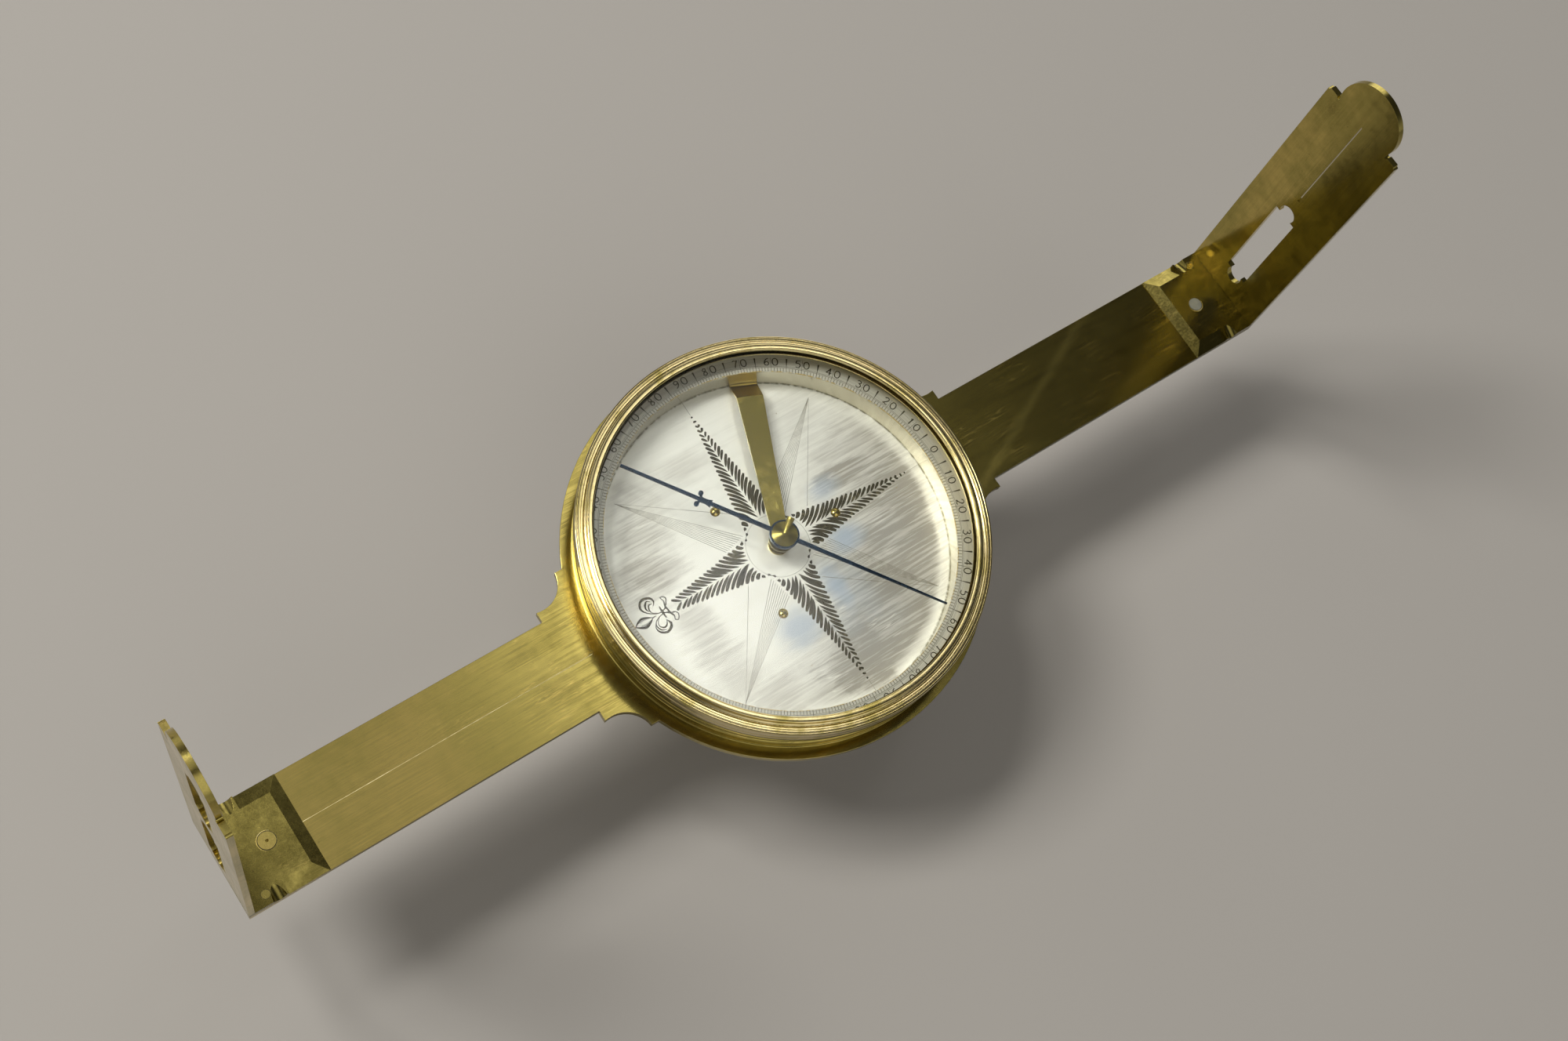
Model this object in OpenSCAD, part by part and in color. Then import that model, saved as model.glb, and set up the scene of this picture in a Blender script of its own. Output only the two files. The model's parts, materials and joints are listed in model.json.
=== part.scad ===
// Surveyor's plain compass: moulded compass box on a long sight plate, two sight vanes,
// balanced needle with a lifter, and a staff socket underneath.
// Millimetres. Z = 0 is the mouth of the staff socket, +Z up, +Y along the sight line to north.

/* [Plate] */
// Overall length of the sight plate along the sight line
plate_len = 399; // [330:1:460]
// Width of the two arms and of the vane feet
arm_w = 33.6; // [31:0.1:38]
// Thickness of the sight plate
plate_t = 2.6; // [1.5:0.1:5]
// Radius of the disc that carries the compass box
disc_r = 71; // [69:0.5:74]
// Half width of the stepped shoulder where each arm leaves the disc
shoulder_w = 28.9; // [24:0.1:34]
// Distance from the centre to the end of that shoulder
shoulder_y = 79.5; // [74:0.1:88]
// Radius of the hollow cove cut in the shoulder
cove_r = 9.75; // [5:0.05:11]

/* [Compass box] */
// Outer radius of the plain box wall
box_r = 66.3; // [64:0.1:67]
// Thickness of the box wall
wall_t = 1.7; // [1.5:0.1:2.2]
// Height of the box wall above the plate
box_h = 15.2; // [14.6:0.1:20]
// Height of the bezel's raised lip above the box wall
lip_rise = 4.4; // [4.2:0.1:6]
// Thickness of the cover glass
glass_t = 1.5; // [1:0.1:1.8]

/* [Dial and ring] */
// Thickness of the silvered dial plate
dial_t = 1.4; // [0.9:0.1:2]
// Width of the raised degree ring
ring_w = 6.3; // [6:0.1:9]
// Height of the degree ring's top above the plate
ring_top = 10.6; // [8:0.1:12]

/* [Needle] */
// Length of the needle from tip to tip
needle_len = 114.3; // [90:0.1:115]
// Height of the needle's underside above the plate
needle_z = 11; // [10.9:0.1:11.5]
// Thickness of the needle
needle_t = 0.9; // [0.5:0.1:1.2]
// Direction in which the needle's blunt end points, from east toward north
needle_az = 35.6; // [-180:0.1:180]

/* [Lifter] */
// Direction of the lifter arm, from east toward north
lifter_az = -22; // [-35:1:-5]
// Thickness of the lifter strip
lifter_t = 0.8; // [0.5:0.1:1]
// Height of the raised part of the lifter above the plate, to its top
lifter_top = 7.2; // [6.5:0.1:7.4]
// Distance of the lift screw from the centre
lift_screw_r = 38; // [37.5:0.5:46]

/* [Vanes] */
// Height of a vane's shoulders above its seat on the arm
vane_h = 111.1; // [105:0.1:140]
// Thickness of a vane
vane_t = 1.95; // [1.2:0.05:3]
// Thickness of a vane foot
foot_t = 2.1; // [2:0.1:3]
// Length of a vane foot along the arm, without the vane
foot_len = 24.6; // [22:0.1:34]
// Radius of the round head of a vane
head_r = 12.25; // [9:0.05:14]
// Half width of the sight windows
win_w = 4.68; // [3.3:0.01:7]
// Radius of the narrower round ends of the sight windows
win_end_r = 3.23; // [2.5:0.01:3.25]
// Bottom and top of the north vane's lower window, without its round ends
north_low = [14.4, 50.5]; // [12:0.1:55]
// Bottom and top of the north vane's upper window, without its round ends
north_high = [68, 102.5]; // [62:0.1:103]
// Bottom and top of the south vane's window, without its round ends
south_low = [14.4, 54.9]; // [12:0.1:58]
// Bottom and top of the south vane's sight slit
south_slit = [65.7, 110.7]; // [64:0.1:112]
// Width of the sight slit
slit_w = 0.45; // [0.3:0.05:0.9]

/* [Staff socket] */
// Height of the plate's underside above the socket mouth
stand_h = 62; // [60:1:90]
// Radius of the staff bore
bore_r = 12.7; // [11:0.1:13.5]
// Depth of the staff bore
bore_len = 50; // [30:1:54]
// Radius of the socket flange under the plate
flange_r = 30; // [27:0.5:34]

/* [Hidden] */
$fn = 96;
ring_fn = 192;
eps = 0.02;
run = 0.05;
through = 1;

// Plate and box
zp = stand_h + plate_t;
floor_t = 0.6;
box_in_r = box_r - wall_t;
dial_r = box_in_r - 0.1;
dial_top = zp + dial_t;
ring_in_r = dial_r - ring_w;
floor_in_r = ring_in_r - 1.2;
ring_screw_r = dial_r - 3.2;
ring_screw_az = [40, 130, 220, 310];
ring_shank_r = 1;
ring_grip = 3.8;
rivet_az = [30, 150, 270];
rivet_shank_r = 1.1;
rivet_head_r = 1.7;
rivet_head_h = 0.9;
post_seat_r = 2.5;
post_r = 1.9;
post_flange_r = 3.4;

// Bezel and glass, heights above the plate
bezel_r = box_r + 1.7;
glass_r = box_in_r - 1.1;
lip_r = glass_r - 1.2;
lip_top = box_h + lip_rise;
lip_t = 1.4;
lip_w = 2.2;
skirt_z = box_h - 3.4;
seat_z = box_h + 0.2;
rim_top = box_h + 2.4;
glass_top = lip_top - lip_t;
glass_z = zp + glass_top - glass_t;
retainer_w = 1.7;
retainer_h = 0.8;
bezel_run = 0.08;

// Lifter
hinge_r = box_in_r - 3.1;
hinge_rivet_r = hinge_r + 0.6;
hinge_shank_r = 0.8;
lifter_end_r = hinge_r + 1.9;
lifter_hub_r = 4.2;
lifter_hole_r = 2.4;
lifter_root_w = 9.6;
lifter_hub_w = 5.4;
lift_shank_r = 1.5;
lift_gap = 0.06;

// Needle, cap and pivot
cap_r = 4.3;
collar_r = 4.9;
collar_h = needle_t + 0.4;
cap_z = zp + lifter_top + 0.15;
cap_body_r = cap_r - 0.3;
cap_dome_h = 0.9;
cup_h = 2.5;
jewel_r = 1.1;
jewel_h = 1.6;
dimple_h = 1.2;
point_r = 0.5;
point_taper = 1.4;
point_z = zp + lifter_top - 2;
point_tip = cap_z + cup_h + dimple_h - run;
peg_az = -52;
peg_lean = 70;
peg_z = zp + needle_z + needle_t + 0.7;
peg_r = 0.9;
peg_tip_r = 1.25;

// Vanes and their feet
vane_y = plate_len / 2 - vane_t;
foot_screw_back = 13.05;
foot_screw_y = vane_y - foot_screw_back;
north_shank_r = 2.7;
south_shank_r = 2.35;
pin_r = 1.4;
pin_x = 13.6;
pin_back = 5.15;
pin_y = vane_y - pin_back;
head_rise = 3.9;
front_bevel = 3.9;
side_bevel = 4.6;
bevel_drop = 1.75;
bevel_stop = 10.95;
scoop_y = 8.2;
scoop_r = 2.3;

// Socket
flange_t = 3;
mouth_r = bore_r + 4.9;
socket_r = bore_r + 3.7;
band_r = bore_r + 4.5;
band_z = 12;
band_h = 12;
rivet_r = (flange_r + socket_r) / 2 + 0.1;
clamp_z = band_z + band_h / 2;
clamp_shank_r = 2.5;
clamp_len = 18;

// Thumbscrew heads
neck_h = 1;
flute_r = 0.75;

module at_az(a, r) {
    rotate([0, 0, a]) translate([r, 0, 0]) children();
}

// Holes shared by the plate, the box floor and the dial, from z0 upward.
module floor_holes(z0, h) {
    translate([0, 0, z0]) {
        cylinder(r = post_seat_r, h = h);
        for (a = rivet_az) at_az(a, rivet_r) cylinder(r = rivet_shank_r, h = h);
        for (a = ring_screw_az) at_az(a, ring_screw_r) cylinder(r = ring_shank_r, h = h);
        at_az(lifter_az, lift_screw_r) cylinder(r = lift_shank_r + run, h = h);
        at_az(lifter_az, hinge_rivet_r) cylinder(r = hinge_shank_r, h = h);
    }
}

// Milled head hanging below z = 0 with a plain neck, and a shank rising above it.
module thumbscrew(head_r, head_h, shank_r, shank_len) {
    flutes = round(head_r * 3.2);
    difference() {
        union() {
            translate([0, 0, -neck_h - head_h]) cylinder(r = head_r, h = head_h);
            translate([0, 0, -neck_h - eps]) cylinder(r = head_r * 0.62, h = neck_h + eps);
        }
        for (i = [0:flutes - 1])
            at_az(i * 360 / flutes, head_r + 0.35)
                translate([0, 0, -neck_h - head_h - through])
                    cylinder(r = flute_r, h = head_h + 2 * through, $fn = 16);
        translate([0, 0, -neck_h - head_h - eps]) cylinder(r = head_r * 0.45, h = 0.5);
    }
    translate([0, 0, -neck_h]) cylinder(r = shank_r, h = neck_h + shank_len);
}

module plate_outline() {
    circle(r = disc_r, $fn = ring_fn);
    square([arm_w, plate_len], center = true);
    difference() {
        square([2 * shoulder_w, 2 * shoulder_y], center = true);
        for (sx = [-1, 1], sy = [-1, 1])
            translate([sx * (shoulder_w + 1), sy * (shoulder_y - 2.3)]) circle(r = cove_r);
    }
}

module main_plate() {
    color([0.71, 0.58, 0.30])
    difference() {
        translate([0, 0, stand_h]) linear_extrude(plate_t) plate_outline();
        floor_holes(stand_h - through, plate_t + 2 * through);
        translate([0, 0, stand_h - through]) {
            translate([0, foot_screw_y, 0]) cylinder(r = north_shank_r + run, h = plate_t + 2 * through);
            translate([0, -foot_screw_y, 0]) cylinder(r = south_shank_r + run, h = plate_t + 2 * through);
            for (s = [-1, 1])
                translate([-s * pin_x, s * pin_y, 0]) cylinder(r = pin_r, h = plate_t + 2 * through);
        }
    }
}

// Box wall section: floor flange, base moulding, small beads and plain wall.
module box_section() {
    translate([floor_in_r, 0]) square([box_in_r - floor_in_r + 1, floor_t]);
    translate([box_in_r, 0]) square([wall_t, box_h]);
    translate([box_r - 0.5, 0]) square([1.7, 0.9]);
    translate([box_r - 0.5, 0.5]) square([1.2, 3]);
    translate([box_r - 0.3, 3.5]) circle(r = 1);
    translate([box_r - 0.3, 6]) circle(r = 0.8);
    translate([box_r - 0.5, 8.2]) square([0.8, 0.5]);
}

module compass_box() {
    color([0.73, 0.60, 0.31])
    difference() {
        translate([0, 0, zp]) rotate_extrude($fn = ring_fn) box_section();
        floor_holes(zp - through, floor_t + 2 * through);
    }
}

module dial_plate() {
    color([0.83, 0.81, 0.74])
    difference() {
        union() {
            translate([0, 0, zp + floor_t]) cylinder(r = dial_r, h = dial_t - floor_t, $fn = ring_fn);
            translate([0, 0, zp]) cylinder(r = floor_in_r - 0.1, h = floor_t + eps, $fn = ring_fn);
        }
        floor_holes(zp - through, dial_t + 2 * through);
    }
}

// The ring is cut out underneath for the root of the lifter and its rivet.
module degree_ring() {
    notch_h = 1.2;
    rivet_room_h = 2.1;
    color([0.85, 0.83, 0.77])
    difference() {
        translate([0, 0, dial_top])
            rotate_extrude($fn = ring_fn)
                translate([ring_in_r, 0]) square([ring_w, ring_top - dial_t]);
        rotate([0, 0, lifter_az]) translate([0, 0, dial_top - through]) {
            translate([ring_in_r - 2, -lifter_root_w / 2 - 0.2, 0])
                cube([lifter_end_r + 2.3 - ring_in_r, lifter_root_w + 0.4, notch_h + through]);
            translate([hinge_rivet_r, 0, 0]) cylinder(r = 1.6, h = rivet_room_h + through);
        }
        for (a = ring_screw_az)
            at_az(a, ring_screw_r) translate([0, 0, dial_top - through])
                cylinder(r = ring_shank_r, h = ring_grip + 0.2 + through);
    }
}

module ring_screws() {
    head_h = 1.2;
    slot_w = 0.6;
    color([0.66, 0.53, 0.27])
    for (a = ring_screw_az)
        at_az(a, ring_screw_r) {
            difference() {
                translate([0, 0, stand_h - head_h]) cylinder(r = 2 * ring_shank_r, h = head_h);
                translate([-3, -slot_w / 2, stand_h - head_h - 0.1]) cube([6, slot_w, slot_w]);
            }
            translate([0, 0, stand_h - eps]) cylinder(r = ring_shank_r, h = plate_t + dial_t + ring_grip);
        }
}

// Low domed head standing on z = 0.
module rivet_head() {
    dome_r = (pow(rivet_head_r, 2) + pow(rivet_head_h, 2)) / (2 * rivet_head_h);
    rotate_extrude($fn = 48)
        intersection() {
            translate([0, rivet_head_h - dome_r]) circle(r = dome_r);
            square([2 * rivet_head_r, 2 * rivet_head_h]);
        }
}

module socket_rivets() {
    color([0.72, 0.58, 0.29])
    for (a = rivet_az)
        at_az(a, rivet_r) {
            translate([0, 0, stand_h - flange_t])
                cylinder(r = rivet_shank_r, h = flange_t + plate_t + dial_t);
            translate([0, 0, dial_top]) rivet_head();
        }
}

module pivot_post() {
    taper_z = zp + lifter_top - 0.2;
    color([0.70, 0.57, 0.29])
    difference() {
        union() {
            translate([0, 0, stand_h - 2]) cylinder(r = post_seat_r, h = plate_t + dial_t + 2.4);
            translate([0, 0, dial_top]) cylinder(r = post_flange_r, h = 0.8);
            translate([0, 0, dial_top]) cylinder(r = post_r, h = taper_z - dial_top);
            translate([0, 0, taper_z - eps]) cylinder(r1 = post_r, r2 = point_r + 0.4, h = 1);
        }
        translate([0, 0, point_z]) cylinder(r = point_r, h = 4);
    }
}

module pivot_point() {
    shank = point_tip - point_taper - point_z;
    color([0.60, 0.61, 0.62])
    translate([0, 0, point_z]) {
        cylinder(r = point_r, h = shank, $fn = 32);
        translate([0, 0, shank - eps]) cylinder(r1 = point_r, r2 = 0.06, h = point_taper, $fn = 32);
    }
}

module staff_socket() {
    color([0.68, 0.55, 0.28])
    difference() {
        union() {
            cylinder(r = mouth_r, h = 4);
            cylinder(r = socket_r, h = stand_h - flange_t + eps);
            translate([0, 0, band_z]) cylinder(r = band_r, h = band_h);
            translate([0, 0, stand_h - flange_t - 3]) cylinder(r = socket_r + 2.6, h = 3 + eps);
            translate([0, 0, stand_h - flange_t]) cylinder(r = flange_r, h = flange_t);
        }
        translate([0, 0, -through]) cylinder(r = bore_r, h = bore_len + through);
        translate([0, 0, stand_h - 2]) cylinder(r = post_seat_r, h = 2 + through);
        for (a = rivet_az)
            at_az(a, rivet_r) translate([0, 0, stand_h - flange_t - through])
                cylinder(r = rivet_shank_r, h = flange_t + 2 * through);
        translate([bore_r - 2.7, 0, clamp_z]) rotate([0, 90, 0])
            cylinder(r = clamp_shank_r + run, h = 10);
    }
}

module steady_pins() {
    color([0.71, 0.57, 0.29])
    for (s = [-1, 1])
        translate([-s * pin_x, s * pin_y, stand_h]) cylinder(r = pin_r, h = plate_t + foot_t);
}

module lifter_rivet() {
    head_z = 1;
    color([0.70, 0.56, 0.28])
    at_az(lifter_az, hinge_rivet_r) {
        translate([0, 0, stand_h])
            cylinder(r = hinge_shank_r, h = plate_t + dial_t + head_z, $fn = 48);
        translate([0, 0, dial_top + head_z]) cylinder(r = 1.35, h = 0.7, $fn = 48);
    }
}

// Bezel section: skirt over the box wall, glass seat, rounded rim, cove and raised lip.
module bezel_section() {
    rim_round = 0.6;
    lip_round = 0.8;
    lip_edge = 0.5;
    difference() {
        union() {
            translate([box_r + bezel_run, skirt_z])
                square([bezel_r - box_r - bezel_run, rim_top - rim_round - skirt_z]);
            translate([bezel_r - rim_round, rim_top - rim_round]) circle(r = rim_round);
            translate([glass_r + run, seat_z])
                square([bezel_r - rim_round - glass_r - run, rim_top - seat_z]);
            translate([glass_r + run, seat_z])
                square([lip_r + lip_w - glass_r - run, lip_top - lip_round - seat_z]);
            translate([lip_r, glass_top]) square([lip_w, lip_t - lip_round]);
            translate([lip_r, glass_top]) square([1.3, lip_t - lip_edge]);
            translate([lip_r + lip_edge, glass_top]) square([lip_round, lip_t]);
            translate([lip_r + lip_edge, lip_top - lip_edge]) circle(r = lip_edge);
            translate([lip_r + 1.3, lip_top - lip_round]) circle(r = lip_round);
        }
        translate([lip_r + lip_w + 0.55, rim_top + 0.95]) circle(r = 1.05);
        translate([bezel_r + 0.15, skirt_z + 2.8]) circle(r = 0.4);
        translate([lip_r - through, seat_z - through])
            square([glass_r + run - lip_r + through, glass_top - seat_z + through]);
    }
}

module bezel_ring() {
    color([0.75, 0.61, 0.31])
    translate([0, 0, zp]) rotate_extrude($fn = ring_fn) bezel_section();
}

module cover_glass() {
    color([0.85, 0.9, 0.9, 0.3])
    translate([0, 0, glass_z]) cylinder(r = glass_r, h = glass_t, $fn = ring_fn);
}

module glass_retainer() {
    color([0.70, 0.57, 0.29])
    translate([0, 0, glass_z - retainer_h])
        rotate_extrude($fn = ring_fn)
            translate([glass_r - retainer_w, 0]) square([retainer_w + run, retainer_h]);
}

// Side view of the lifter strip along its own direction: flat root, rising bend, level run.
module lifter_side() {
    root_z = dial_top + run;
    level_z = zp + lifter_top - lifter_t;
    foot_r = ring_in_r - 0.9;
    crest_r = ring_in_r - 7.2;
    polygon([
        [lifter_end_r, root_z], [lifter_end_r, root_z + lifter_t],
        [foot_r, root_z + lifter_t], [crest_r, level_z + lifter_t],
        [0, level_z + lifter_t], [0, level_z],
        [crest_r + 0.4, level_z], [foot_r + 0.4, root_z]]);
}

// Plan of the strip, tapering from its wide root to the hub ring.
module lifter_plan() {
    polygon([
        [lifter_hub_r - 1.2, -lifter_hub_w / 2], [ring_in_r, -lifter_root_w / 2],
        [lifter_end_r, -lifter_root_w / 2], [lifter_end_r, lifter_root_w / 2],
        [ring_in_r, lifter_root_w / 2], [lifter_hub_r - 1.2, lifter_hub_w / 2]]);
}

module lifter_arm() {
    color([0.66, 0.53, 0.27])
    rotate([0, 0, lifter_az])
    difference() {
        union() {
            intersection() {
                translate([0, lifter_root_w, 0]) rotate([90, 0, 0])
                    linear_extrude(2 * lifter_root_w) lifter_side();
                translate([0, 0, zp]) linear_extrude(lip_top) lifter_plan();
            }
            translate([0, 0, zp + lifter_top - lifter_t]) cylinder(r = lifter_hub_r, h = lifter_t);
        }
        translate([0, 0, zp]) cylinder(r = lifter_hole_r, h = lip_top);
        translate([hinge_rivet_r, 0, zp]) cylinder(r = hinge_shank_r + 0.1, h = ring_top, $fn = 48);
    }
}

module lift_screw() {
    head_gap = 0.5;
    color([0.69, 0.56, 0.28])
    at_az(lifter_az, lift_screw_r)
        translate([0, 0, stand_h - head_gap])
            thumbscrew(6.5, 5, lift_shank_r, head_gap + plate_t + lifter_top - lifter_t - lift_gap);
}

// One half of the needle in plan: straight taper from the collar to the tip.
module needle_half(tip_w) {
    root_w = 0.65;
    root_r = cap_r + 0.2;
    polygon([
        [root_r, -root_w], [root_r, root_w],
        [needle_len / 2, tip_w], [needle_len / 2, -tip_w]]);
}

// The mark of the north half: a round dot on each side with a small barb behind it.
module needle_mark() {
    dot_x = 29.9;
    dot_y = 2;
    dot_r = 0.82;
    for (s = [-1, 1]) {
        translate([dot_x, s * dot_y]) circle(r = dot_r, $fn = 48);
        polygon([
            [dot_x - 0.1, s * 0.2], [dot_x + 0.1, s * 1.5], [dot_x - 0.5, s * 1.5],
            [dot_x - 1, s * 0.85], [dot_x - 2.5, s * 0.75], [dot_x - 3.5, s * 0.95],
            [dot_x - 4.5, s * 1.25], [dot_x - 4.2, s * 0.5], [dot_x - 4, s * 0.2]]);
    }
}

module needle() {
    blunt_w = 0.42;
    fine_w = 0.22;
    color([0.10, 0.14, 0.20])
    rotate([0, 0, needle_az]) translate([0, 0, zp + needle_z]) {
        linear_extrude(needle_t) {
            needle_half(blunt_w);
            rotate(180) needle_half(fine_w);
            needle_mark();
        }
        rotate_extrude()
            translate([cap_r, -0.1]) square([collar_r - cap_r, collar_h]);
    }
}

// Tapered brass peg that leans out of the centre of the cap.
module peg_body() {
    root_len = 1.6;
    taper_len = 3.2;
    end_len = 0.8;
    rotate([0, 0, peg_az]) translate([0, 0, peg_z]) rotate([0, peg_lean, 0]) {
        cylinder(r = peg_r, h = root_len, $fn = 32);
        translate([0, 0, root_len - eps]) cylinder(r1 = peg_r, r2 = peg_tip_r, h = taper_len, $fn = 32);
        translate([0, 0, root_len + taper_len - 2 * eps]) cylinder(r = peg_tip_r, h = end_len, $fn = 32);
    }
}

module needle_cap() {
    foot_h = 1.6;
    collar_z = zp + needle_z - 0.1;
    color([0.72, 0.58, 0.29])
    difference() {
        union() {
            translate([0, 0, cap_z]) cylinder(r1 = cap_body_r - 0.7, r2 = cap_body_r, h = foot_h);
            translate([0, 0, cap_z + foot_h - eps])
                cylinder(r = cap_body_r, h = collar_z - cap_z - foot_h + 2 * eps);
            translate([0, 0, collar_z]) cylinder(r = cap_r, h = collar_h);
            translate([0, 0, collar_z + collar_h - eps])
                cylinder(r1 = cap_r, r2 = 1.2, h = cap_dome_h);
        }
        translate([0, 0, cap_z - eps]) cylinder(r1 = 2.4, r2 = jewel_r, h = cup_h + 0.1);
        translate([0, 0, cap_z + cup_h]) cylinder(r = jewel_r, h = jewel_h);
        peg_body();
    }
}

module cap_jewel() {
    color([0.62, 0.28, 0.22])
    difference() {
        translate([0, 0, cap_z + cup_h]) cylinder(r = jewel_r, h = jewel_h, $fn = 48);
        translate([0, 0, cap_z + cup_h - eps]) cylinder(r1 = 0.9, r2 = 0.16, h = dimple_h + eps, $fn = 48);
    }
}

module cap_peg() {
    color([0.70, 0.57, 0.28]) peg_body();
}

// Front view of a vane: shoulders nicked at both ends, and a round head.
module vane_front() {
    difference() {
        translate([-arm_w / 2, 0]) square([arm_w, vane_h]);
        for (s = [-1, 1]) {
            translate([s * (head_r - 0.3), vane_h]) circle(r = 0.7, $fn = 32);
            translate([s * arm_w / 2, vane_h]) circle(r = 0.9, $fn = 32);
        }
    }
    translate([0, vane_h + head_rise]) circle(r = head_r);
}

// Sight window: upright slot with a narrower round end above and below.
module sight_window(span) {
    translate([-win_w, span[0]]) square([2 * win_w, span[1] - span[0]]);
    translate([0, span[0] - win_end_r / 2]) circle(r = win_end_r, $fn = 64);
    translate([0, span[1] + win_end_r / 2]) circle(r = win_end_r, $fn = 64);
}

// Long sight slit with its small drilled end.
module sight_slit(span) {
    translate([-slit_w / 2, span[0]]) square([slit_w, span[1] - span[0]]);
    translate([0, span[0]]) circle(r = slit_w / 2 + 0.28, $fn = 24);
}

// Foot with a bevelled front and side bevels that stop in a small scoop near the vane.
module vane_foot(hole_r) {
    flat_w = arm_w / 2 - side_bevel;
    tilt = atan(bevel_drop / side_bevel);
    nose_t = 0.2;
    difference() {
        translate([-arm_w / 2, -foot_len, 0]) cube([arm_w, foot_len + vane_t, foot_t]);
        translate([0, -foot_len, nose_t]) rotate([atan((foot_t - nose_t) / front_bevel), 0, 0])
            translate([-arm_w, -3, 0]) cube([2 * arm_w, 7.34, 4]);
        for (s = [0, 1]) mirror([s, 0, 0]) {
            translate([flat_w, -foot_len - through, foot_t]) rotate([0, tilt, 0])
                cube([8, foot_len + through - bevel_stop, 3]);
            translate([flat_w, -scoop_y, foot_t]) rotate([0, tilt, 0])
                translate([-1, 0, scoop_r]) rotate([0, 90, 0]) cylinder(r = scoop_r, h = 8, $fn = 64);
        }
        translate([0, -foot_screw_back, -through]) cylinder(r = hole_r + run, h = foot_t + 2 * through);
        translate([-pin_x, -pin_back, -through]) cylinder(r = pin_r + run, h = foot_t + 2 * through);
    }
}

// A vane standing on the end of the north arm; its children are the openings cut in it.
module vane(hole_r) {
    translate([0, vane_y, zp]) {
        vane_foot(hole_r);
        difference() {
            translate([0, vane_t, 0]) rotate([90, 0, 0]) linear_extrude(vane_t) vane_front();
            translate([0, vane_t + through, 0]) rotate([90, 0, 0])
                linear_extrude(vane_t + 2 * through) children();
        }
    }
}

module north_vane() {
    color([0.72, 0.60, 0.32])
    vane(north_shank_r) {
        sight_window(north_low);
        sight_window(north_high);
    }
}

module south_vane() {
    color([0.70, 0.58, 0.30])
    rotate([0, 0, 180]) vane(south_shank_r) {
        sight_window(south_low);
        sight_slit(south_slit);
    }
}

// Screw that clamps a vane foot to the arm from below; its end shows in the foot.
module vane_thumbscrew(shank_r, proud) {
    clamp_gap = 0.1;
    translate([0, 0, stand_h - clamp_gap])
        thumbscrew(7.5, 6, shank_r, clamp_gap + plate_t + foot_t + proud);
}

module north_thumbscrew() {
    centre_r = 0.5;
    end_proud = 0.15;
    color([0.70, 0.57, 0.29])
    translate([0, foot_screw_y, 0])
        difference() {
            vane_thumbscrew(north_shank_r, end_proud);
            translate([0, 0, zp + foot_t + end_proud - 0.4])
                cylinder(r1 = 0.1, r2 = centre_r, h = 0.4 + eps, $fn = 24);
        }
}

module south_thumbscrew() {
    color([0.45, 0.46, 0.47])
    translate([0, -foot_screw_y, 0]) vane_thumbscrew(south_shank_r, 0.1);
}

module socket_clamp_screw() {
    neck_r = bore_r + 0.3 + clamp_len - 6;
    color([0.69, 0.56, 0.28])
    translate([neck_r, 0, clamp_z]) rotate([0, -90, 0])
        thumbscrew(7, 5, clamp_shank_r, neck_r - bore_r - 0.3);
}

main_plate();
compass_box();
dial_plate();
degree_ring();
ring_screws();
socket_rivets();
pivot_post();
pivot_point();
staff_socket();
steady_pins();
lifter_rivet();
bezel_ring();
cover_glass();
glass_retainer();
lifter_arm();
lift_screw();
needle();
needle_cap();
cap_jewel();
cap_peg();
north_vane();
south_vane();
north_thumbscrew();
south_thumbscrew();
socket_clamp_screw();
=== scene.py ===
"""Surveyor's plain compass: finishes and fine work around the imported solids, laid out as a Blender add-on.

Every length here is in metres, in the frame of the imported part: z = 0 is the mouth of the staff socket,
+Z is up and +Y points along the sight line to the north vane.
"""

import json
import math

import bmesh
import bpy
import numpy as np
from mathutils import Matrix, Vector

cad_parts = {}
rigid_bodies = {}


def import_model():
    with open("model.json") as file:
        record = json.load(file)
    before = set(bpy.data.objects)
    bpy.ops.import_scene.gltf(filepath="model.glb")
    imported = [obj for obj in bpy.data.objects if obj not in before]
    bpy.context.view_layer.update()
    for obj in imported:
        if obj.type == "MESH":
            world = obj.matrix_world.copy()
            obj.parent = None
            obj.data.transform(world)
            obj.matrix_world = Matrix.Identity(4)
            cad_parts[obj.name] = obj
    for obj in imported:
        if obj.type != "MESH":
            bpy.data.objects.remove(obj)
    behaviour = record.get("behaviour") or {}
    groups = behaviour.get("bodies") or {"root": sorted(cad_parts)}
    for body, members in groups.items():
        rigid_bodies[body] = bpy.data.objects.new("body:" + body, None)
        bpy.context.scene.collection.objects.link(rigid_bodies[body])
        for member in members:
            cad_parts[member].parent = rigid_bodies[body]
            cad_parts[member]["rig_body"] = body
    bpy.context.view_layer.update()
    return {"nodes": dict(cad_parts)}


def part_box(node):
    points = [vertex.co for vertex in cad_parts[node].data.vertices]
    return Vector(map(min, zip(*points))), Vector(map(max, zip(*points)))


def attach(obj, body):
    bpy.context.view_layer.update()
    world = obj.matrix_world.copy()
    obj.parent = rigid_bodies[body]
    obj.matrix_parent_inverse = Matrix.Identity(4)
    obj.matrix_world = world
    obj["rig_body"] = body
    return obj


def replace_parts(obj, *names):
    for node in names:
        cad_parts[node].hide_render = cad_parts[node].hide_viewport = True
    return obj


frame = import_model()

bl_info = {
    "name": "Surveyors Compass Finish",
    "version": (1, 0, 0),
    "blender": (4, 5, 0),
    "location": "3D View > Sidebar > Compass",
    "description": "Turned bezel and box, engraved dial, divided ring, vanes and brass finishes",
    "category": "Object",
}

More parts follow.
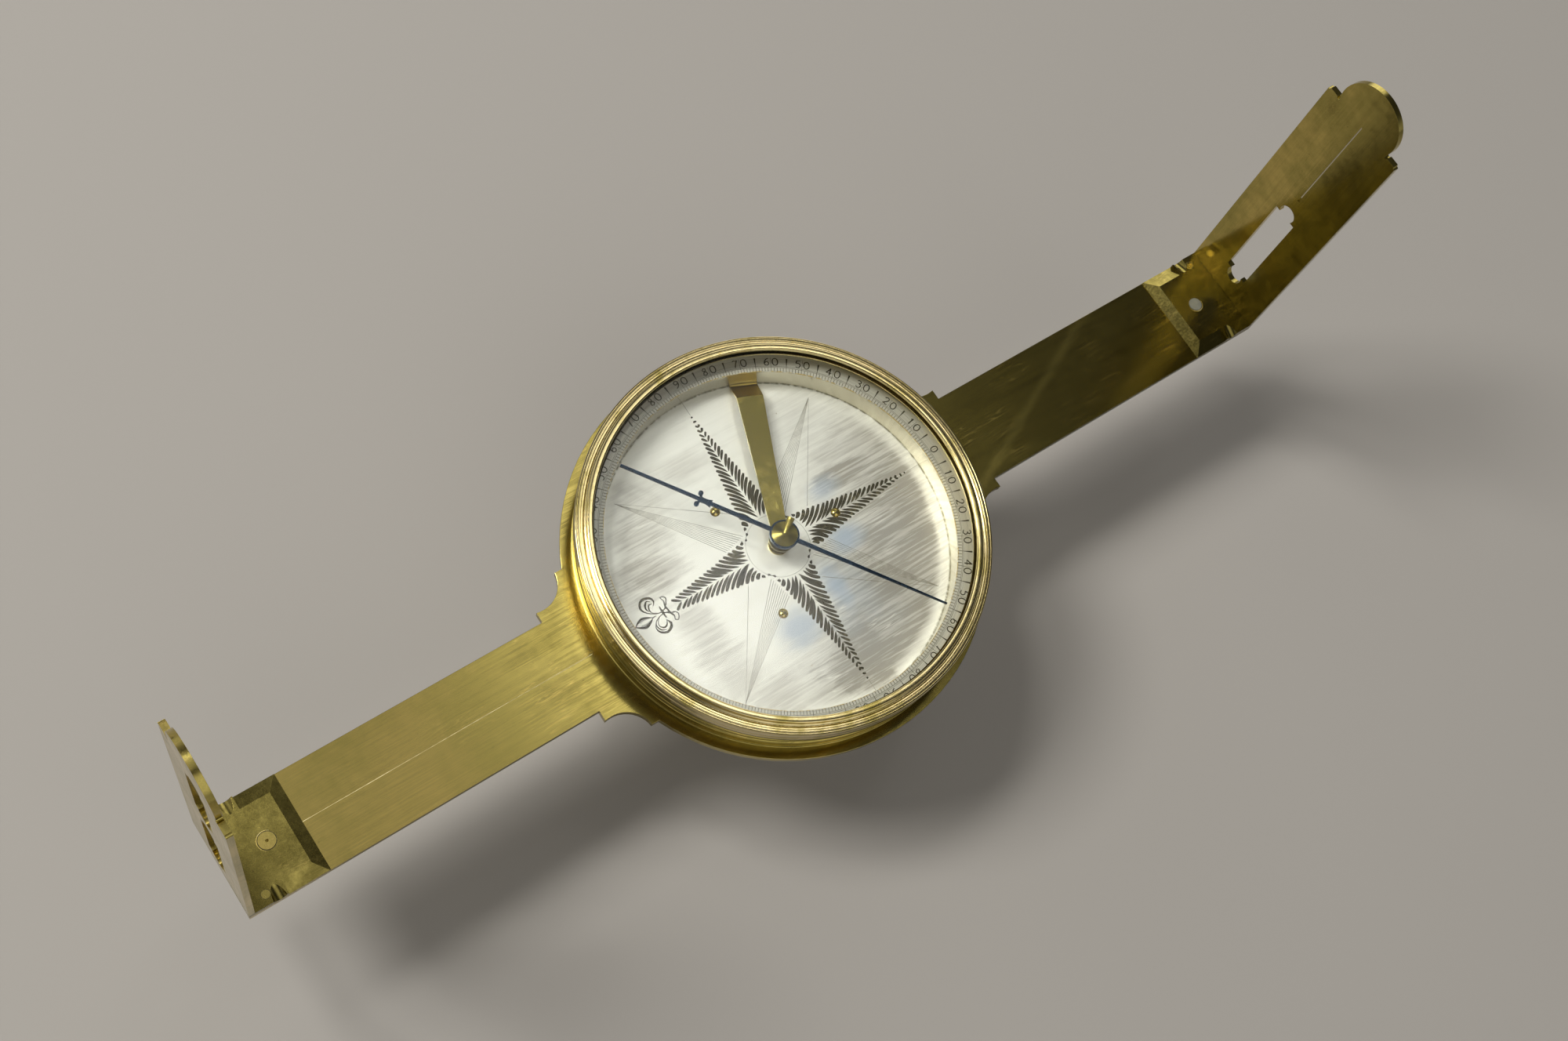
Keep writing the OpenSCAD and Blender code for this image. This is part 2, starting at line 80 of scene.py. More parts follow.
MM = 0.001
PLATE_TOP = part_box("main_plate")[1].z
DIAL_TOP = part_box("dial_plate")[1].z
RING_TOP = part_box("degree_ring")[1].z
FOOT_TOP = PLATE_TOP + 2.1 * MM
SCALE_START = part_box("dial_plate")[1].x / MM - 6.3  # radius where the ring's divisions begin, in millimetres
SUNK = 0.02 * MM  # how far a laid-on line starts below its surface
FOOT_LINE = 0.01 * MM  # how far a line on a vane foot stands proud
VANE_SCREW_Y = 184.5 * MM
STEADY_PIN = (13.6 * MM, 192.4 * MM)
LIFTER_WAY = (0.927, -0.375, 0)
SCRIBED = (71.6, 172.9)  # ends of the northern arm's scribed line along Y, in millimetres
# The pale band on the southern arm is a painted highlight: it stands in for light thrown onto the arm by the
# south vane.
PAINTED_HIGHLIGHT_BAND_WAY = (0.901, 0.434, 0)  # across the pale band on the southern arm

CAMERA_AT = (-0.11985, 0.22322, 0.65777)
CAMERA_AXES = (  # right, up and back
    (-0.55042804, -0.81111529, 0.1977902),
    (0.81180438, -0.46465921, 0.35364597),
    (-0.19494261, 0.35522361, 0.9142284))
CAMERA_LENS, CAMERA_SENSOR = 45.2646, 36
FLOOR_REACH = 4.0
LAMP_COLOUR = (1.0, 0.985, 0.95)
LAMPS = (  # name, direction from the compass, distance and width in metres
    ("key lamp", (0.427, 0.466, 0.777), 3.0, 0.9), ("top lamp", (0.42, 0.22, 0.88), 2.0, 0.32))
PANELS = (  # soft panels of the room: direction, inner and outer angle in degrees, strength
    ((0.12, -0.05, 0.985), 4, 15, 0.42), ((0.157, -0.307, 0.939), 0.3, 3.8, 5.0),
    ((0.23, -0.295, 0.925), 1, 7, 1.9), ((0.66, -0.62, 0.42), 8, 27, 1.5),
    ((-0.66, 0.1, 0.7), 10, 34, 0.95), ((0.9, 0.3, 0.3), 8, 30, 0.5))


class CompassSizes(bpy.types.PropertyGroup):
    """Sizes of the turned and engraved work."""
    turning_steps: bpy.props.IntProperty(
        name="Turning steps", description="Number of flats round a turned piece",
        default=360, min=48, max=720)
    engraving: bpy.props.FloatProperty(
        name="Engraving stand", description="How far the filled engraving stands proud of the silvering",
        default=0.012 * MM, unit="LENGTH", precision=6)
    star_tip: bpy.props.FloatProperty(
        name="Star tip", description="Distance from the centre to the tip of a cardinal point of the star",
        default=53.2 * MM, unit="LENGTH", precision=5)
    star_corner: bpy.props.FloatProperty(
        name="Star corner", description="Distance from the centre to the corner between two points",
        default=10.6 * MM, unit="LENGTH", precision=5)
    figure_height: bpy.props.FloatProperty(
        name="Figure height", description="Height of the numbers on the degree ring",
        default=2.6 * MM, unit="LENGTH", precision=5)
    edge_softness: bpy.props.FloatProperty(
        name="Edge softness", description="Width of the rounded arris on the plate and the vanes",
        default=0.16 * MM, unit="LENGTH", precision=6)


class CompassColours(bpy.types.PropertyGroup):
    """Colours of the metals, as linear values."""
    bright_brass: bpy.props.FloatVectorProperty(
        name="Bright brass", description="Clean rubbed brass", subtype="COLOR", default=(0.64, 0.49, 0.15))
    olive_brass: bpy.props.FloatVectorProperty(
        name="Olive brass", description="Brass under an even old tarnish", subtype="COLOR",
        default=(0.44, 0.36, 0.10))
    dark_brass: bpy.props.FloatVectorProperty(
        name="Dark brass", description="Brass where the tarnish is deep", subtype="COLOR",
        default=(0.19, 0.155, 0.04))
    silver: bpy.props.FloatVectorProperty(
        name="Silvering", description="Clean silvered surface", subtype="COLOR", default=(0.92, 0.905, 0.83))
    grey_silver: bpy.props.FloatVectorProperty(
        name="Grey silvering", description="Silvering gone grey", subtype="COLOR",
        default=(0.37, 0.345, 0.295))
    blue_silver: bpy.props.FloatVectorProperty(
        name="Blue silvering", description="Silvering with a blue bloom", subtype="COLOR",
        default=(0.40, 0.47, 0.56))
    wax: bpy.props.FloatVectorProperty(
        name="Engraver's wax", description="Dark filling of the engraving", subtype="COLOR",
        default=(0.035, 0.029, 0.012))
    blued_steel: bpy.props.FloatVectorProperty(
        name="Blued steel", description="Needle", subtype="COLOR", default=(0.012, 0.024, 0.042))
    floor: bpy.props.FloatVectorProperty(
        name="Floor", description="Plain pale floor", subtype="COLOR", default=(0.392, 0.37, 0.342))


class CompassLight(bpy.types.PropertyGroup):
    """Strength of the studio light."""
    key_power: bpy.props.FloatProperty(
        name="Key lamp", description="Power of the soft key lamp", default=52, subtype="POWER")
    top_power: bpy.props.FloatProperty(
        name="Top lamp", description="Power of the soft lamp overhead", default=9, subtype="POWER")
    room: bpy.props.FloatProperty(
        name="Room", description="Strength of the soft light from the room", default=1.0, min=0)


def make_piece(name, points, faces, body, slot, material, smooth=40):
    """Puts points (n, 3) and equal-sized faces (m, k) into a new object that rides on a body."""
    mesh = bpy.data.meshes.new(name)
    points = np.asarray(points, np.float64).reshape(-1, 3)
    faces = np.asarray(faces, np.int32)
    mesh.vertices.add(len(points))
    mesh.vertices.foreach_set("co", points.astype(np.float32).ravel())
    mesh.loops.add(faces.size)
    mesh.loops.foreach_set("vertex_index", faces.ravel())
    mesh.polygons.add(len(faces))
    mesh.polygons.foreach_set("loop_start", np.arange(0, faces.size, faces.shape[1], dtype=np.int32))
    mesh.polygons.foreach_set("use_smooth", np.ones(len(faces), bool))
    mesh.update(calc_edges=True)
    mesh.validate()
    mesh.set_sharp_from_angle(angle=math.radians(smooth))
    piece = bpy.data.objects.new(name, mesh)
    bpy.context.scene.collection.objects.link(piece)
    mesh.materials.append(material)
    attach(piece, body)
    return piece


def turned(outline, steps):
    """A closed outline of (radius, height) carried round the Z axis.

    Point (i, j) is (r_j cos a_i, r_j sin a_i, z_j) with a_i = 2 pi i / steps. Both directions close on
    themselves, and the outline runs anticlockwise in the (r, z) plane so that the faces point outward.
    """
    r, z = np.asarray(outline, float).T
    if np.sum(r * np.roll(z, -1) - np.roll(r, -1) * z) < 0:
        r, z = r[::-1], z[::-1]
    a = np.linspace(0, 2 * np.pi, steps, endpoint=False)[:, None]
    points = np.stack([r * np.cos(a), r * np.sin(a), z + 0 * a], -1)
    i, j = np.meshgrid(np.arange(steps), np.arange(len(r)), indexing="ij")
    i2, j2 = (i + 1) % steps, (j + 1) % len(r)
    k = len(r)
    faces = np.stack([i * k + j, i2 * k + j, i2 * k + j2, i * k + j2], -1).reshape(-1, 4)
    return points, faces


def rounded(corners, steps=5):
    """Rounds each corner (r, z, reach) of a closed outline.

    A corner becomes the curve (1-t)^2 A + 2t(1-t) C + t^2 B, where A and B lie at the reach from the corner
    C on its two sides, or at 0.48 of a side that is too short.
    """
    c = np.asarray(corners, float)
    p, reach = c[:, :2], c[:, 2:3]
    before, after = np.roll(p, 1, 0) - p, np.roll(p, -1, 0) - p
    lb = np.linalg.norm(before, axis=1, keepdims=True)
    la = np.linalg.norm(after, axis=1, keepdims=True)
    a = p + before / lb * np.minimum(reach, 0.48 * lb)
    b = p + after / la * np.minimum(reach, 0.48 * la)
    t = np.linspace(0, 1, steps)[:, None, None]
    curve = (1 - t) ** 2 * a + 2 * t * (1 - t) * p + t ** 2 * b
    return curve.transpose(1, 0, 2).reshape(-1, 2)


def spline(points, count):
    """Points of a smooth curve through the given ones.

    Between b and c, with a before and d after them, the curve is half of
    2b + (c - a) f + (2a - 5b + 4c - d) f^2 + (3b - a - 3c + d) f^3, as f goes from 0 to 1.
    """
    p = np.asarray(points, float)
    q = np.vstack([2 * p[0] - p[1], p, 2 * p[-1] - p[-2]])
    t = np.linspace(0, len(p) - 1, count)
    i = np.minimum(t.astype(int), len(p) - 2)
    f = (t - i)[:, None]
    a, b, c, d = q[i], q[i + 1], q[i + 2], q[i + 3]
    square, cube = 2 * a - 5 * b + 4 * c - d, 3 * b - a - 3 * c + d
    return 0.5 * (2 * b + (c - a) * f + square * f ** 2 + cube * f ** 3)


def ribbons(lines, widths, low, high):
    """Closed flat bars along plane curves.

    lines is (n, k, 2) and widths (n, k). At each station the bar's section is a rectangle that reaches half
    the width to each side of the line, across its direction, and from low to high.
    """
    lines, widths = np.asarray(lines, float), np.asarray(widths, float)
    n, k = widths.shape
    along = np.gradient(lines, axis=1)
    along /= np.maximum(np.linalg.norm(along, axis=2, keepdims=True), 1e-12)
    side = np.stack([-along[..., 1], along[..., 0]], -1) * widths[..., None] / 2
    left, right = lines + side, lines - side
    points = np.empty((n, k, 4, 3))
    for corner, (flat, z) in enumerate(((left, low), (right, low), (right, high), (left, high))):
        points[:, :, corner, :2] = flat
        points[:, :, corner, 2] = z
    s, i, j = np.meshgrid(np.arange(n), np.arange(k - 1), np.arange(4), indexing="ij")
    base, j2 = (s * k + i) * 4, (j + 1) % 4
    walls = np.stack([base + j, base + j2, base + 4 + j2, base + 4 + j], -1).reshape(-1, 4)
    first = np.arange(n)[:, None] * k * 4
    ends = np.vstack([first + np.array([3, 2, 1, 0]), first + (k - 1) * 4 + np.array([0, 1, 2, 3])])
    return points, np.vstack([walls, ends])[:, ::-1]


def softened(node, width, material, name, segments=2, angle=32, flat_area=3e-6):
    """A copy of a CAD node with rounded edges: doubles merged, flats dissolved, then a bevel.

    Faces larger than flat_area are the flats and stay plainly shaded.
    """
    source = frame["nodes"][node]
    mesh = source.data.copy()
    mesh.name = name
    work = bmesh.new()
    work.from_mesh(mesh)
    bmesh.ops.remove_doubles(work, verts=work.verts, dist=1e-6)
    bmesh.ops.dissolve_limit(work, angle_limit=math.radians(0.6), verts=work.verts, edges=work.edges)
    work.to_mesh(mesh)
    work.free()
    for kind in ("custom_normal", "sharp_face", "sharp_edge"):
        layer = mesh.attributes.get(kind)
        if layer is not None:
            mesh.attributes.remove(layer)
    area = np.empty(len(mesh.polygons))
    mesh.polygons.foreach_get("area", area)
    mesh.set_sharp_from_angle(angle=math.radians(angle))
    mesh.polygons.foreach_set("use_smooth", area < flat_area)
    piece = bpy.data.objects.new(name, mesh)
    bpy.context.scene.collection.objects.link(piece)
    mesh.materials.clear()
    mesh.materials.append(material)
    bevel = piece.modifiers.new("rounded arris", "BEVEL")
    bevel.width = width
    bevel.segments = segments
    bevel.limit_method = "ANGLE"
    bevel.angle_limit = math.radians(angle)
    bevel.miter_outer = "MITER_ARC"
    bevel.use_clamp_overlap = True
    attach(piece, source["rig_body"])
    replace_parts(piece, node)
    return piece


def circle_line(name, radius, width, low, high, steps, slot, material):
    """A thin flat circle on the compass: a low rectangle, from radius to radius + width, carried round Z.

    radius and width are in millimetres.
    """
    inner, outer = radius * MM, (radius + width) * MM
    section = [[inner, low], [outer, low], [outer, high], [inner, high]]
    return make_piece(name, *turned(section, steps), "compass_body", slot, material)


def quarter(azimuth):
    """The matrix that turns flat points, written as rows, by an azimuth in degrees."""
    a = math.radians(azimuth)
    return np.array([[math.cos(a), math.sin(a)], [-math.sin(a), math.cos(a)]])


def add(tree, kind, inputs=None, **settings):
    """Adds a node, sets its settings, and links or fills its inputs."""
    new = tree.nodes.new(kind)
    for key, value in settings.items():
        setattr(new, key, value)
    for key, value in (inputs or {}).items():
        if isinstance(value, bpy.types.NodeSocket):
            tree.links.new(value, new.inputs[key])
        else:
            new.inputs[key].default_value = value
    return new


def calc(tree, operation, *values, clamp=False):
    """One arithmetic step."""
    step = add(tree, "ShaderNodeMath", dict(enumerate(values)), operation=operation, use_clamp=clamp)
    return step.outputs[0]


def times(tree, first, second, clamp=False):
    """First times second."""
    return calc(tree, "MULTIPLY", first, second, clamp=clamp)


def plus(tree, first, second, clamp=False):
    """First plus second."""
    return calc(tree, "ADD", first, second, clamp=clamp)


def less(tree, first, second):
    """First less second."""
    return calc(tree, "SUBTRACT", first, second)


def span(tree, value, low, high, to_low=0.0, to_high=1.0, smooth=True):
    """Carries low..high to to_low..to_high, held at the ends."""
    return add(tree, "ShaderNodeMapRange", {"Value": value, "From Min": low, "From Max": high,
                                            "To Min": to_low, "To Max": to_high},
               interpolation_type="SMOOTHSTEP" if smooth else "LINEAR").outputs["Result"]


def tint(tree, factor, first, second):
    """Mixes two colours."""
    mix = add(tree, "ShaderNodeMix", data_type="RGBA")
    for slot, value in ((0, factor), (6, first), (7, second)):
        if isinstance(value, bpy.types.NodeSocket):
            tree.links.new(value, mix.inputs[slot])
        elif slot:
            mix.inputs[slot].default_value = (*value, 1)
        else:
            mix.inputs[slot].default_value = value
    return mix.outputs[2]


def over(tree, mask, share, colour, paint):
    """Lays paint over a colour where the mask is, as strongly as the share says."""
    return tint(tree, times(tree, mask, share), colour, paint)


def vector(tree, operation, *values):
    """One vector step; gives the vector, or the value where the step makes one."""
    step = add(tree, "ShaderNodeVectorMath", dict(enumerate(values)), operation=operation)
    single = operation in ("LENGTH", "DISTANCE", "DOT_PRODUCT")
    return step.outputs["Value" if single else "Vector"]


def noise(tree, where, scale, detail=4, rough=0.55):
    """Smooth noise, about 0.5 on average."""
    return add(tree, "ShaderNodeTexNoise",
               {"Vector": where, "Scale": scale, "Detail": detail, "Roughness": rough}).outputs["Fac"]


def flatten(tree, where):
    """The parts of a vector, the vector laid flat, and its distance from the Z axis."""
    parts = add(tree, "ShaderNodeSeparateXYZ", {0: where}).outputs
    flat = add(tree, "ShaderNodeCombineXYZ", {"X": parts["X"], "Y": parts["Y"]}).outputs[0]
    return parts, flat, vector(tree, "LENGTH", flat)


def group(name, sockets_in, sockets_out, build):
    """Makes a shader node group once. Sockets are (name, kind, default)."""
    found = bpy.data.node_groups.get(name)
    if found:
        return found
    tree = bpy.data.node_groups.new(name, "ShaderNodeTree")
    for label, kind, default in sockets_in:
        made = tree.interface.new_socket(name=label, in_out="INPUT", socket_type="NodeSocket" + kind)
        if default is not None:
            made.default_value = default
    for label, kind in sockets_out:
        tree.interface.new_socket(name=label, in_out="OUTPUT", socket_type="NodeSocket" + kind)
    inner = tree.nodes.new("NodeGroupInput")
    outer = tree.nodes.new("NodeGroupOutput")
    for label, value in build(tree, inner.outputs).items():
        tree.links.new(value, outer.inputs[label])
    return tree


def place(tree, node_group, **inputs):
    """Puts a node group into a material with its own values."""
    return add(tree, "ShaderNodeGroup", {k.replace("_", " "): v for k, v in inputs.items()},
               node_tree=node_group).outputs


def brushed_group():
    """Straight brushing along local Y: noise squeezed across the lines and drawn out along them."""
    def build(tree, given):
        fine = vector(tree, "MULTIPLY", given["Vector"], (1.0, 0.018, 1.0))
        one = noise(tree, fine, given["Lines"], 3, 0.6)
        wide = vector(tree, "MULTIPLY", given["Vector"], (1.0, 0.05, 1.0))
        two = noise(tree, wide, times(tree, given["Lines"], 0.22), 2, 0.5)
        height = plus(tree, times(tree, one, 0.65), times(tree, two, 0.35))
        return {"Mask": span(tree, height, 0.35, 0.65), "Height": height}
    return group("Brushed Grain", [("Vector", "Vector", None), ("Lines", "Float", 3000.0)],
                 [("Mask", "Float"), ("Height", "Float")], build)


def turned_group():
    """Lathe lines round the Z axis: noise read at the radius and height, and only slowly round the turn."""
    def build(tree, given):
        parts, flat, radius = flatten(tree, given["Vector"])
        way = add(tree, "ShaderNodeSeparateXYZ", {0: vector(tree, "NORMALIZE", flat)}).outputs
        read = add(tree, "ShaderNodeCombineXYZ", {
            "X": times(tree, radius, given["Lines"]),
            "Y": times(tree, parts["Z"], given["Lines"]),
            "Z": times(tree, way["X"], given["Drift"])}).outputs[0]
        height = add(tree, "ShaderNodeTexNoise", {
            "Vector": read, "W": times(tree, way["Y"], given["Drift"]), "Scale": 1.0,
            "Detail": 2.0, "Roughness": 0.5}, noise_dimensions="4D").outputs["Fac"]
        return {"Mask": span(tree, height, 0.35, 0.65), "Height": height}
    return group("Turned Grain", [("Vector", "Vector", None), ("Lines", "Float", 3500.0),
                                  ("Drift", "Float", 1.5)],
                 [("Mask", "Float"), ("Height", "Float")], build)


def tarnish_group():
    """Old tarnish: broad clouds and finer mottle that carry bright metal to olive and then to dark."""
    # Its Amount also carries the painted shade and highlight of brass zones.
    def build(tree, given):
        broad = noise(tree, given["Vector"], given["Size"], 5, 0.62)
        fine = noise(tree, given["Vector"], times(tree, given["Size"], 7.3), 4, 0.6)
        both = plus(tree, times(tree, broad, 0.7), times(tree, fine, 0.3))
        swing = times(tree, less(tree, both, 0.5), given["Contrast"])
        depth = plus(tree, swing, given["Amount"])
        first = tint(tree, span(tree, depth, 0.0, 0.55), given["Bright"], given["Olive"])
        colour = tint(tree, span(tree, depth, 0.5, 1.15), first, given["Dark"])
        return {"Colour": colour, "Mask": times(tree, depth, 1.0, clamp=True)}
    return group("Tarnish", [("Vector", "Vector", None), ("Size", "Float", 60.0), ("Amount", "Float", 0.5),
                             ("Contrast", "Float", 2.6), ("Bright", "Color", None),
                             ("Olive", "Color", None), ("Dark", "Color", None)],
                 [("Colour", "Color"), ("Mask", "Float")], build)


def specks_group():
    """Small spots: cells of which only a few hold a round spot of their own size."""
    def build(tree, given):
        cells = add(tree, "ShaderNodeTexVoronoi", {"Vector": given["Vector"], "Scale": given["Cells"]},
                    feature="F1")
        pick = add(tree, "ShaderNodeSeparateColor", {0: cells.outputs["Color"]}).outputs
        size = times(tree, less(tree, pick[0], given["Sparse"]), 0.9)
        spot = less(tree, size, cells.outputs["Distance"])
        return {"Mask": span(tree, spot, 0.0, 0.05), "Pick": pick[1]}
    return group("Specks", [("Vector", "Vector", None), ("Cells", "Float", 400.0),
                            ("Sparse", "Float", 0.75)],
                 [("Mask", "Float"), ("Pick", "Float")], build)


def scratches_group():
    """Fine stray scratches: thin ridges of noise that is drawn out in three crossing directions."""
    def build(tree, given):
        total = None
        for turn, lines in ((0.5, 620.0), (-0.9, 480.0), (1.35, 540.0)):
            read = add(tree, "ShaderNodeMapping", {"Vector": given["Vector"], "Rotation": (0.0, 0.0, turn),
                                                  "Scale": (1.0, 0.05, 0.6)}).outputs[0]
            value = noise(tree, read, times(tree, given["Density"], lines), 1, 0.4)
            ridge = calc(tree, "ABSOLUTE", less(tree, value, 0.5))
            line = span(tree, ridge, 0.012, 0.0)
            total = line if total is None else calc(tree, "MAXIMUM", total, line)
        where = noise(tree, given["Vector"], 70.0, 2, 0.5)
        return {"Mask": times(tree, total, span(tree, where, 0.48, 0.62))}
    return group("Scratches", [("Vector", "Vector", None), ("Density", "Float", 1.0)],
                 [("Mask", "Float")], build)


def start(name):
    """A new material with its shader and its object coordinates."""
    material = bpy.data.materials.new(name)
    material.use_nodes = True
    tree = material.node_tree
    shader = tree.nodes["Principled BSDF"]
    where = add(tree, "ShaderNodeTexCoord").outputs["Object"]
    return material, tree, shader, where


def finish(tree, shader, colour, rough, height=None, strength=0.1, distance=2e-5, metal=1.0):
    """Feeds the shader and gives it its bump."""
    tree.links.new(colour, shader.inputs["Base Color"])
    tree.links.new(rough, shader.inputs["Roughness"])
    if isinstance(metal, bpy.types.NodeSocket):
        tree.links.new(metal, shader.inputs["Metallic"])
    else:
        shader.inputs["Metallic"].default_value = metal
    if height is not None:
        bump = add(tree, "ShaderNodeBump", {"Strength": strength, "Distance": distance, "Height": height})
        tree.links.new(bump.outputs[0], shader.inputs["Normal"])


def brass(name, colours, grain="turned", lines=3500.0, amount=0.4, size=60.0, rough=(0.16, 0.34),
          bump=0.12, way=(0.0, 0.0, 0.0), zones=(), specks=0.8,
          bright=None, drift=1.5, tone=0.22, contrast=2.6):
    """Brass with its tool marks, old tarnish, spots and stray scratches.

    amount is the tarnish's depth, size its scale and contrast its unevenness. lines, drift, tone and bump
    are how close the tool marks lie, how they wander round the turn, and how dark and how deep they are.
    zones are (way, from, to, change): along that way, in metres, the tarnish deepens by that much; some zones
    are painted shade, reflection or highlight.
    """
    material, tree, shader, where = start(name)
    local = add(tree, "ShaderNodeMapping", {"Vector": where, "Rotation": way}).outputs[0]
    if grain == "turned":
        marks = place(tree, turned_group(), Vector=local, Lines=lines, Drift=drift)
    else:
        marks = place(tree, brushed_group(), Vector=local, Lines=lines)
    depth = amount
    for toward, near, far, change in zones:
        along = vector(tree, "DOT_PRODUCT", where, toward)
        depth = plus(tree, span(tree, along, near, far, 0.0, change), depth)
    old = place(tree, tarnish_group(), Vector=where, Size=size, Amount=depth, Contrast=contrast,
                Bright=(*(bright or colours.bright_brass), 1), Olive=(*colours.olive_brass, 1),
                Dark=(*colours.dark_brass, 1))
    spots = place(tree, specks_group(), Vector=where, Cells=520.0, Sparse=specks)
    lines_on = place(tree, scratches_group(), Vector=where, Density=1.0)
    colour = over(tree, marks["Mask"], tone, old["Colour"], colours.dark_brass)
    colour = over(tree, spots["Mask"], 0.6, colour, (0.10, 0.07, 0.025))
    colour = over(tree, lines_on["Mask"], 0.45, colour, colours.bright_brass)
    value = plus(tree, times(tree, old["Mask"], 0.6),
                 times(tree, marks["Mask"], 1.8 * tone))
    roughness = span(tree, value, 0.0, 1.0, rough[0], rough[1], smooth=False)
    height = plus(tree, marks["Height"], times(tree, lines_on["Mask"], -0.5))
    finish(tree, shader, colour, roughness, height, bump)
    return material


def silvered(name, colours, patches, rough, turned_lines=False):
    """Silvering with its brushing, grey clouds, blue bloom, small spots, scratches and yellowed specks.

    patches are (x, y, reach across, reach along, grey, blue): soft oval clouds whose edges are drawn out
    along the brushing. With patches, the dial also greys toward the south-west: painted shade.
    """
    material, tree, shader, where = start(name)
    if turned_lines:
        marks = place(tree, turned_group(), Vector=where, Lines=5200.0)
    else:
        marks = place(tree, brushed_group(), Vector=where, Lines=2400.0)
    streaky = noise(tree, vector(tree, "MULTIPLY", where, (1.0, 0.05, 1.0)), 1050.0, 4, 0.6)
    broad = noise(tree, vector(tree, "MULTIPLY", where, (1.0, 0.14, 1.0)), 330.0, 4, 0.6)
    wobble = noise(tree, where, 80.0, 4, 0.6)
    edge = plus(tree, times(tree, less(tree, broad, 0.5), 1.5),
                times(tree, less(tree, wobble, 0.5), 1.6))
    parts, _, radius = flatten(tree, where)
    grey = times(tree, span(tree, wobble, 0.5, 0.8), 0.16)
    if patches:
        # Painted shade: the dial greys toward the south-west, standing in for its highlight falling off there.
        south_west = vector(tree, "DOT_PRODUCT", where, (-0.64, -0.77, 0.0))
        painted_south_west_shade = span(tree, south_west, -5 * MM, 42 * MM, 0.0, 1.05)
        painted_south_west_shade = times(tree, painted_south_west_shade, span(tree, radius, 57.5 * MM, 52 * MM))
        grey = plus(tree, grey, painted_south_west_shade)
    blue = 0.0
    for x, y, across, along, grey_part, blue_part in patches:
        away = vector(tree, "SUBTRACT", where, (x * MM, y * MM, DIAL_TOP))
        away = vector(tree, "LENGTH", vector(tree, "MULTIPLY", away, (1000 / across, 1000 / along, 0.0)))
        cloud = span(tree, plus(tree, away, edge), 1.75, 0.3)
        if grey_part:
            grey = calc(tree, "MAXIMUM", grey, times(tree, cloud, grey_part))
        if blue_part:
            soft = span(tree, plus(tree, away, times(tree, edge, 0.4)), 1.3, 0.1)
            blue = calc(tree, "MAXIMUM", blue, times(tree, soft, blue_part))
    grey = times(tree, grey, span(tree, streaky, 0.36, 0.66, 1.2, 0.62))
    streaks = times(tree, less(tree, marks["Mask"], 0.42), 0.12)
    worn = plus(tree, grey, streaks, clamp=True)
    colour = tint(tree, worn, colours.silver, colours.grey_silver)
    colour = tint(tree, plus(tree, blue, 0.0, clamp=True), colour, colours.blue_silver)
    spots = place(tree, specks_group(), Vector=where, Cells=330.0, Sparse=0.88)
    brown = tint(tree, spots["Pick"], (0.20, 0.17, 0.11), (0.45, 0.33, 0.08))
    colour = over(tree, spots["Mask"], 0.7, colour, brown)
    dust = place(tree, specks_group(), Vector=where, Cells=1300.0, Sparse=0.86)
    colour = over(tree, dust["Mask"], 0.35, colour, (0.30, 0.27, 0.20))
    rubbed = place(tree, scratches_group(), Vector=where, Density=0.8)
    colour = over(tree, rubbed["Mask"], 0.5, colour, colours.silver)
    broken = noise(tree, where, 700.0, 3, 0.6)
    metal = 0.36
    if turned_lines:
        colour = tint(tree, 0.7, colour, (0.40, 0.38, 0.30))
        dull = span(tree, parts["Z"], RING_TOP - 0.1 * MM, RING_TOP - 0.6 * MM)
        colour = over(tree, dull, 0.7, colour, (0.62, 0.57, 0.42))
        metal = span(tree, dull, 0.0, 1.0, 0.25, 0.9, smooth=False)
        corner = times(tree, span(tree, radius, 58.5 * MM, 58.3 * MM),
                      span(tree, parts["Z"], RING_TOP - 0.5 * MM, RING_TOP - 0.2 * MM))
        corner = times(tree, corner, span(tree, broken, 0.4, 0.55))
        colour = tint(tree, corner, colour, (0.50, 0.36, 0.10))
        foot = span(tree, parts["Z"], DIAL_TOP + 0.5 * MM, DIAL_TOP + 0.1 * MM)
    else:
        foot = span(tree, radius, 57.6 * MM, 58.1 * MM)
    foot = times(tree, foot, span(tree, broken, 0.3, 0.6))
    colour = over(tree, foot, 0.8, colour, (0.16, 0.14, 0.06))
    value = plus(tree, times(tree, worn, 0.4), times(tree, marks["Mask"], 0.6))
    roughness = span(tree, value, 0.0, 1.0, rough[0], rough[1], smooth=False)
    if turned_lines:
        roughness = times(tree, roughness, span(tree, dull, 0.0, 1.0, 1.0, 0.6))
    finish(tree, shader, colour, roughness, marks["Height"], 0.10, metal=metal)
    return material


def wax_material(name, colours):
    """Dark engraver's wax, worn thin in places."""
    material, tree, shader, where = start(name)
    worn = span(tree, noise(tree, where, 900.0, 3, 0.6), 0.45, 0.75)
    wider = span(tree, noise(tree, where, 120.0, 2, 0.5), 0.35, 0.7)
    colour = over(tree, worn, wider, colours.wax, (0.20, 0.17, 0.09))
    finish(tree, shader, colour, span(tree, worn, 0.0, 1.0, 0.45, 0.7), worn, 0.2, 1e-5, metal=0.0)
    shader.inputs["Specular IOR Level"].default_value = 0.3
    return material


def hairline_material(name, ink, paper):
    """A thin cut line, partly filled."""
    material, tree, shader, where = start(name)
    worn = span(tree, noise(tree, where, 500.0, 3, 0.6), 0.4, 0.7)
    colour = tint(tree, worn, ink, paper)
    finish(tree, shader, colour, span(tree, worn, 0.0, 1.0, 0.4, 0.6), worn, 0.1, 1e-5, metal=0.5)
    return material


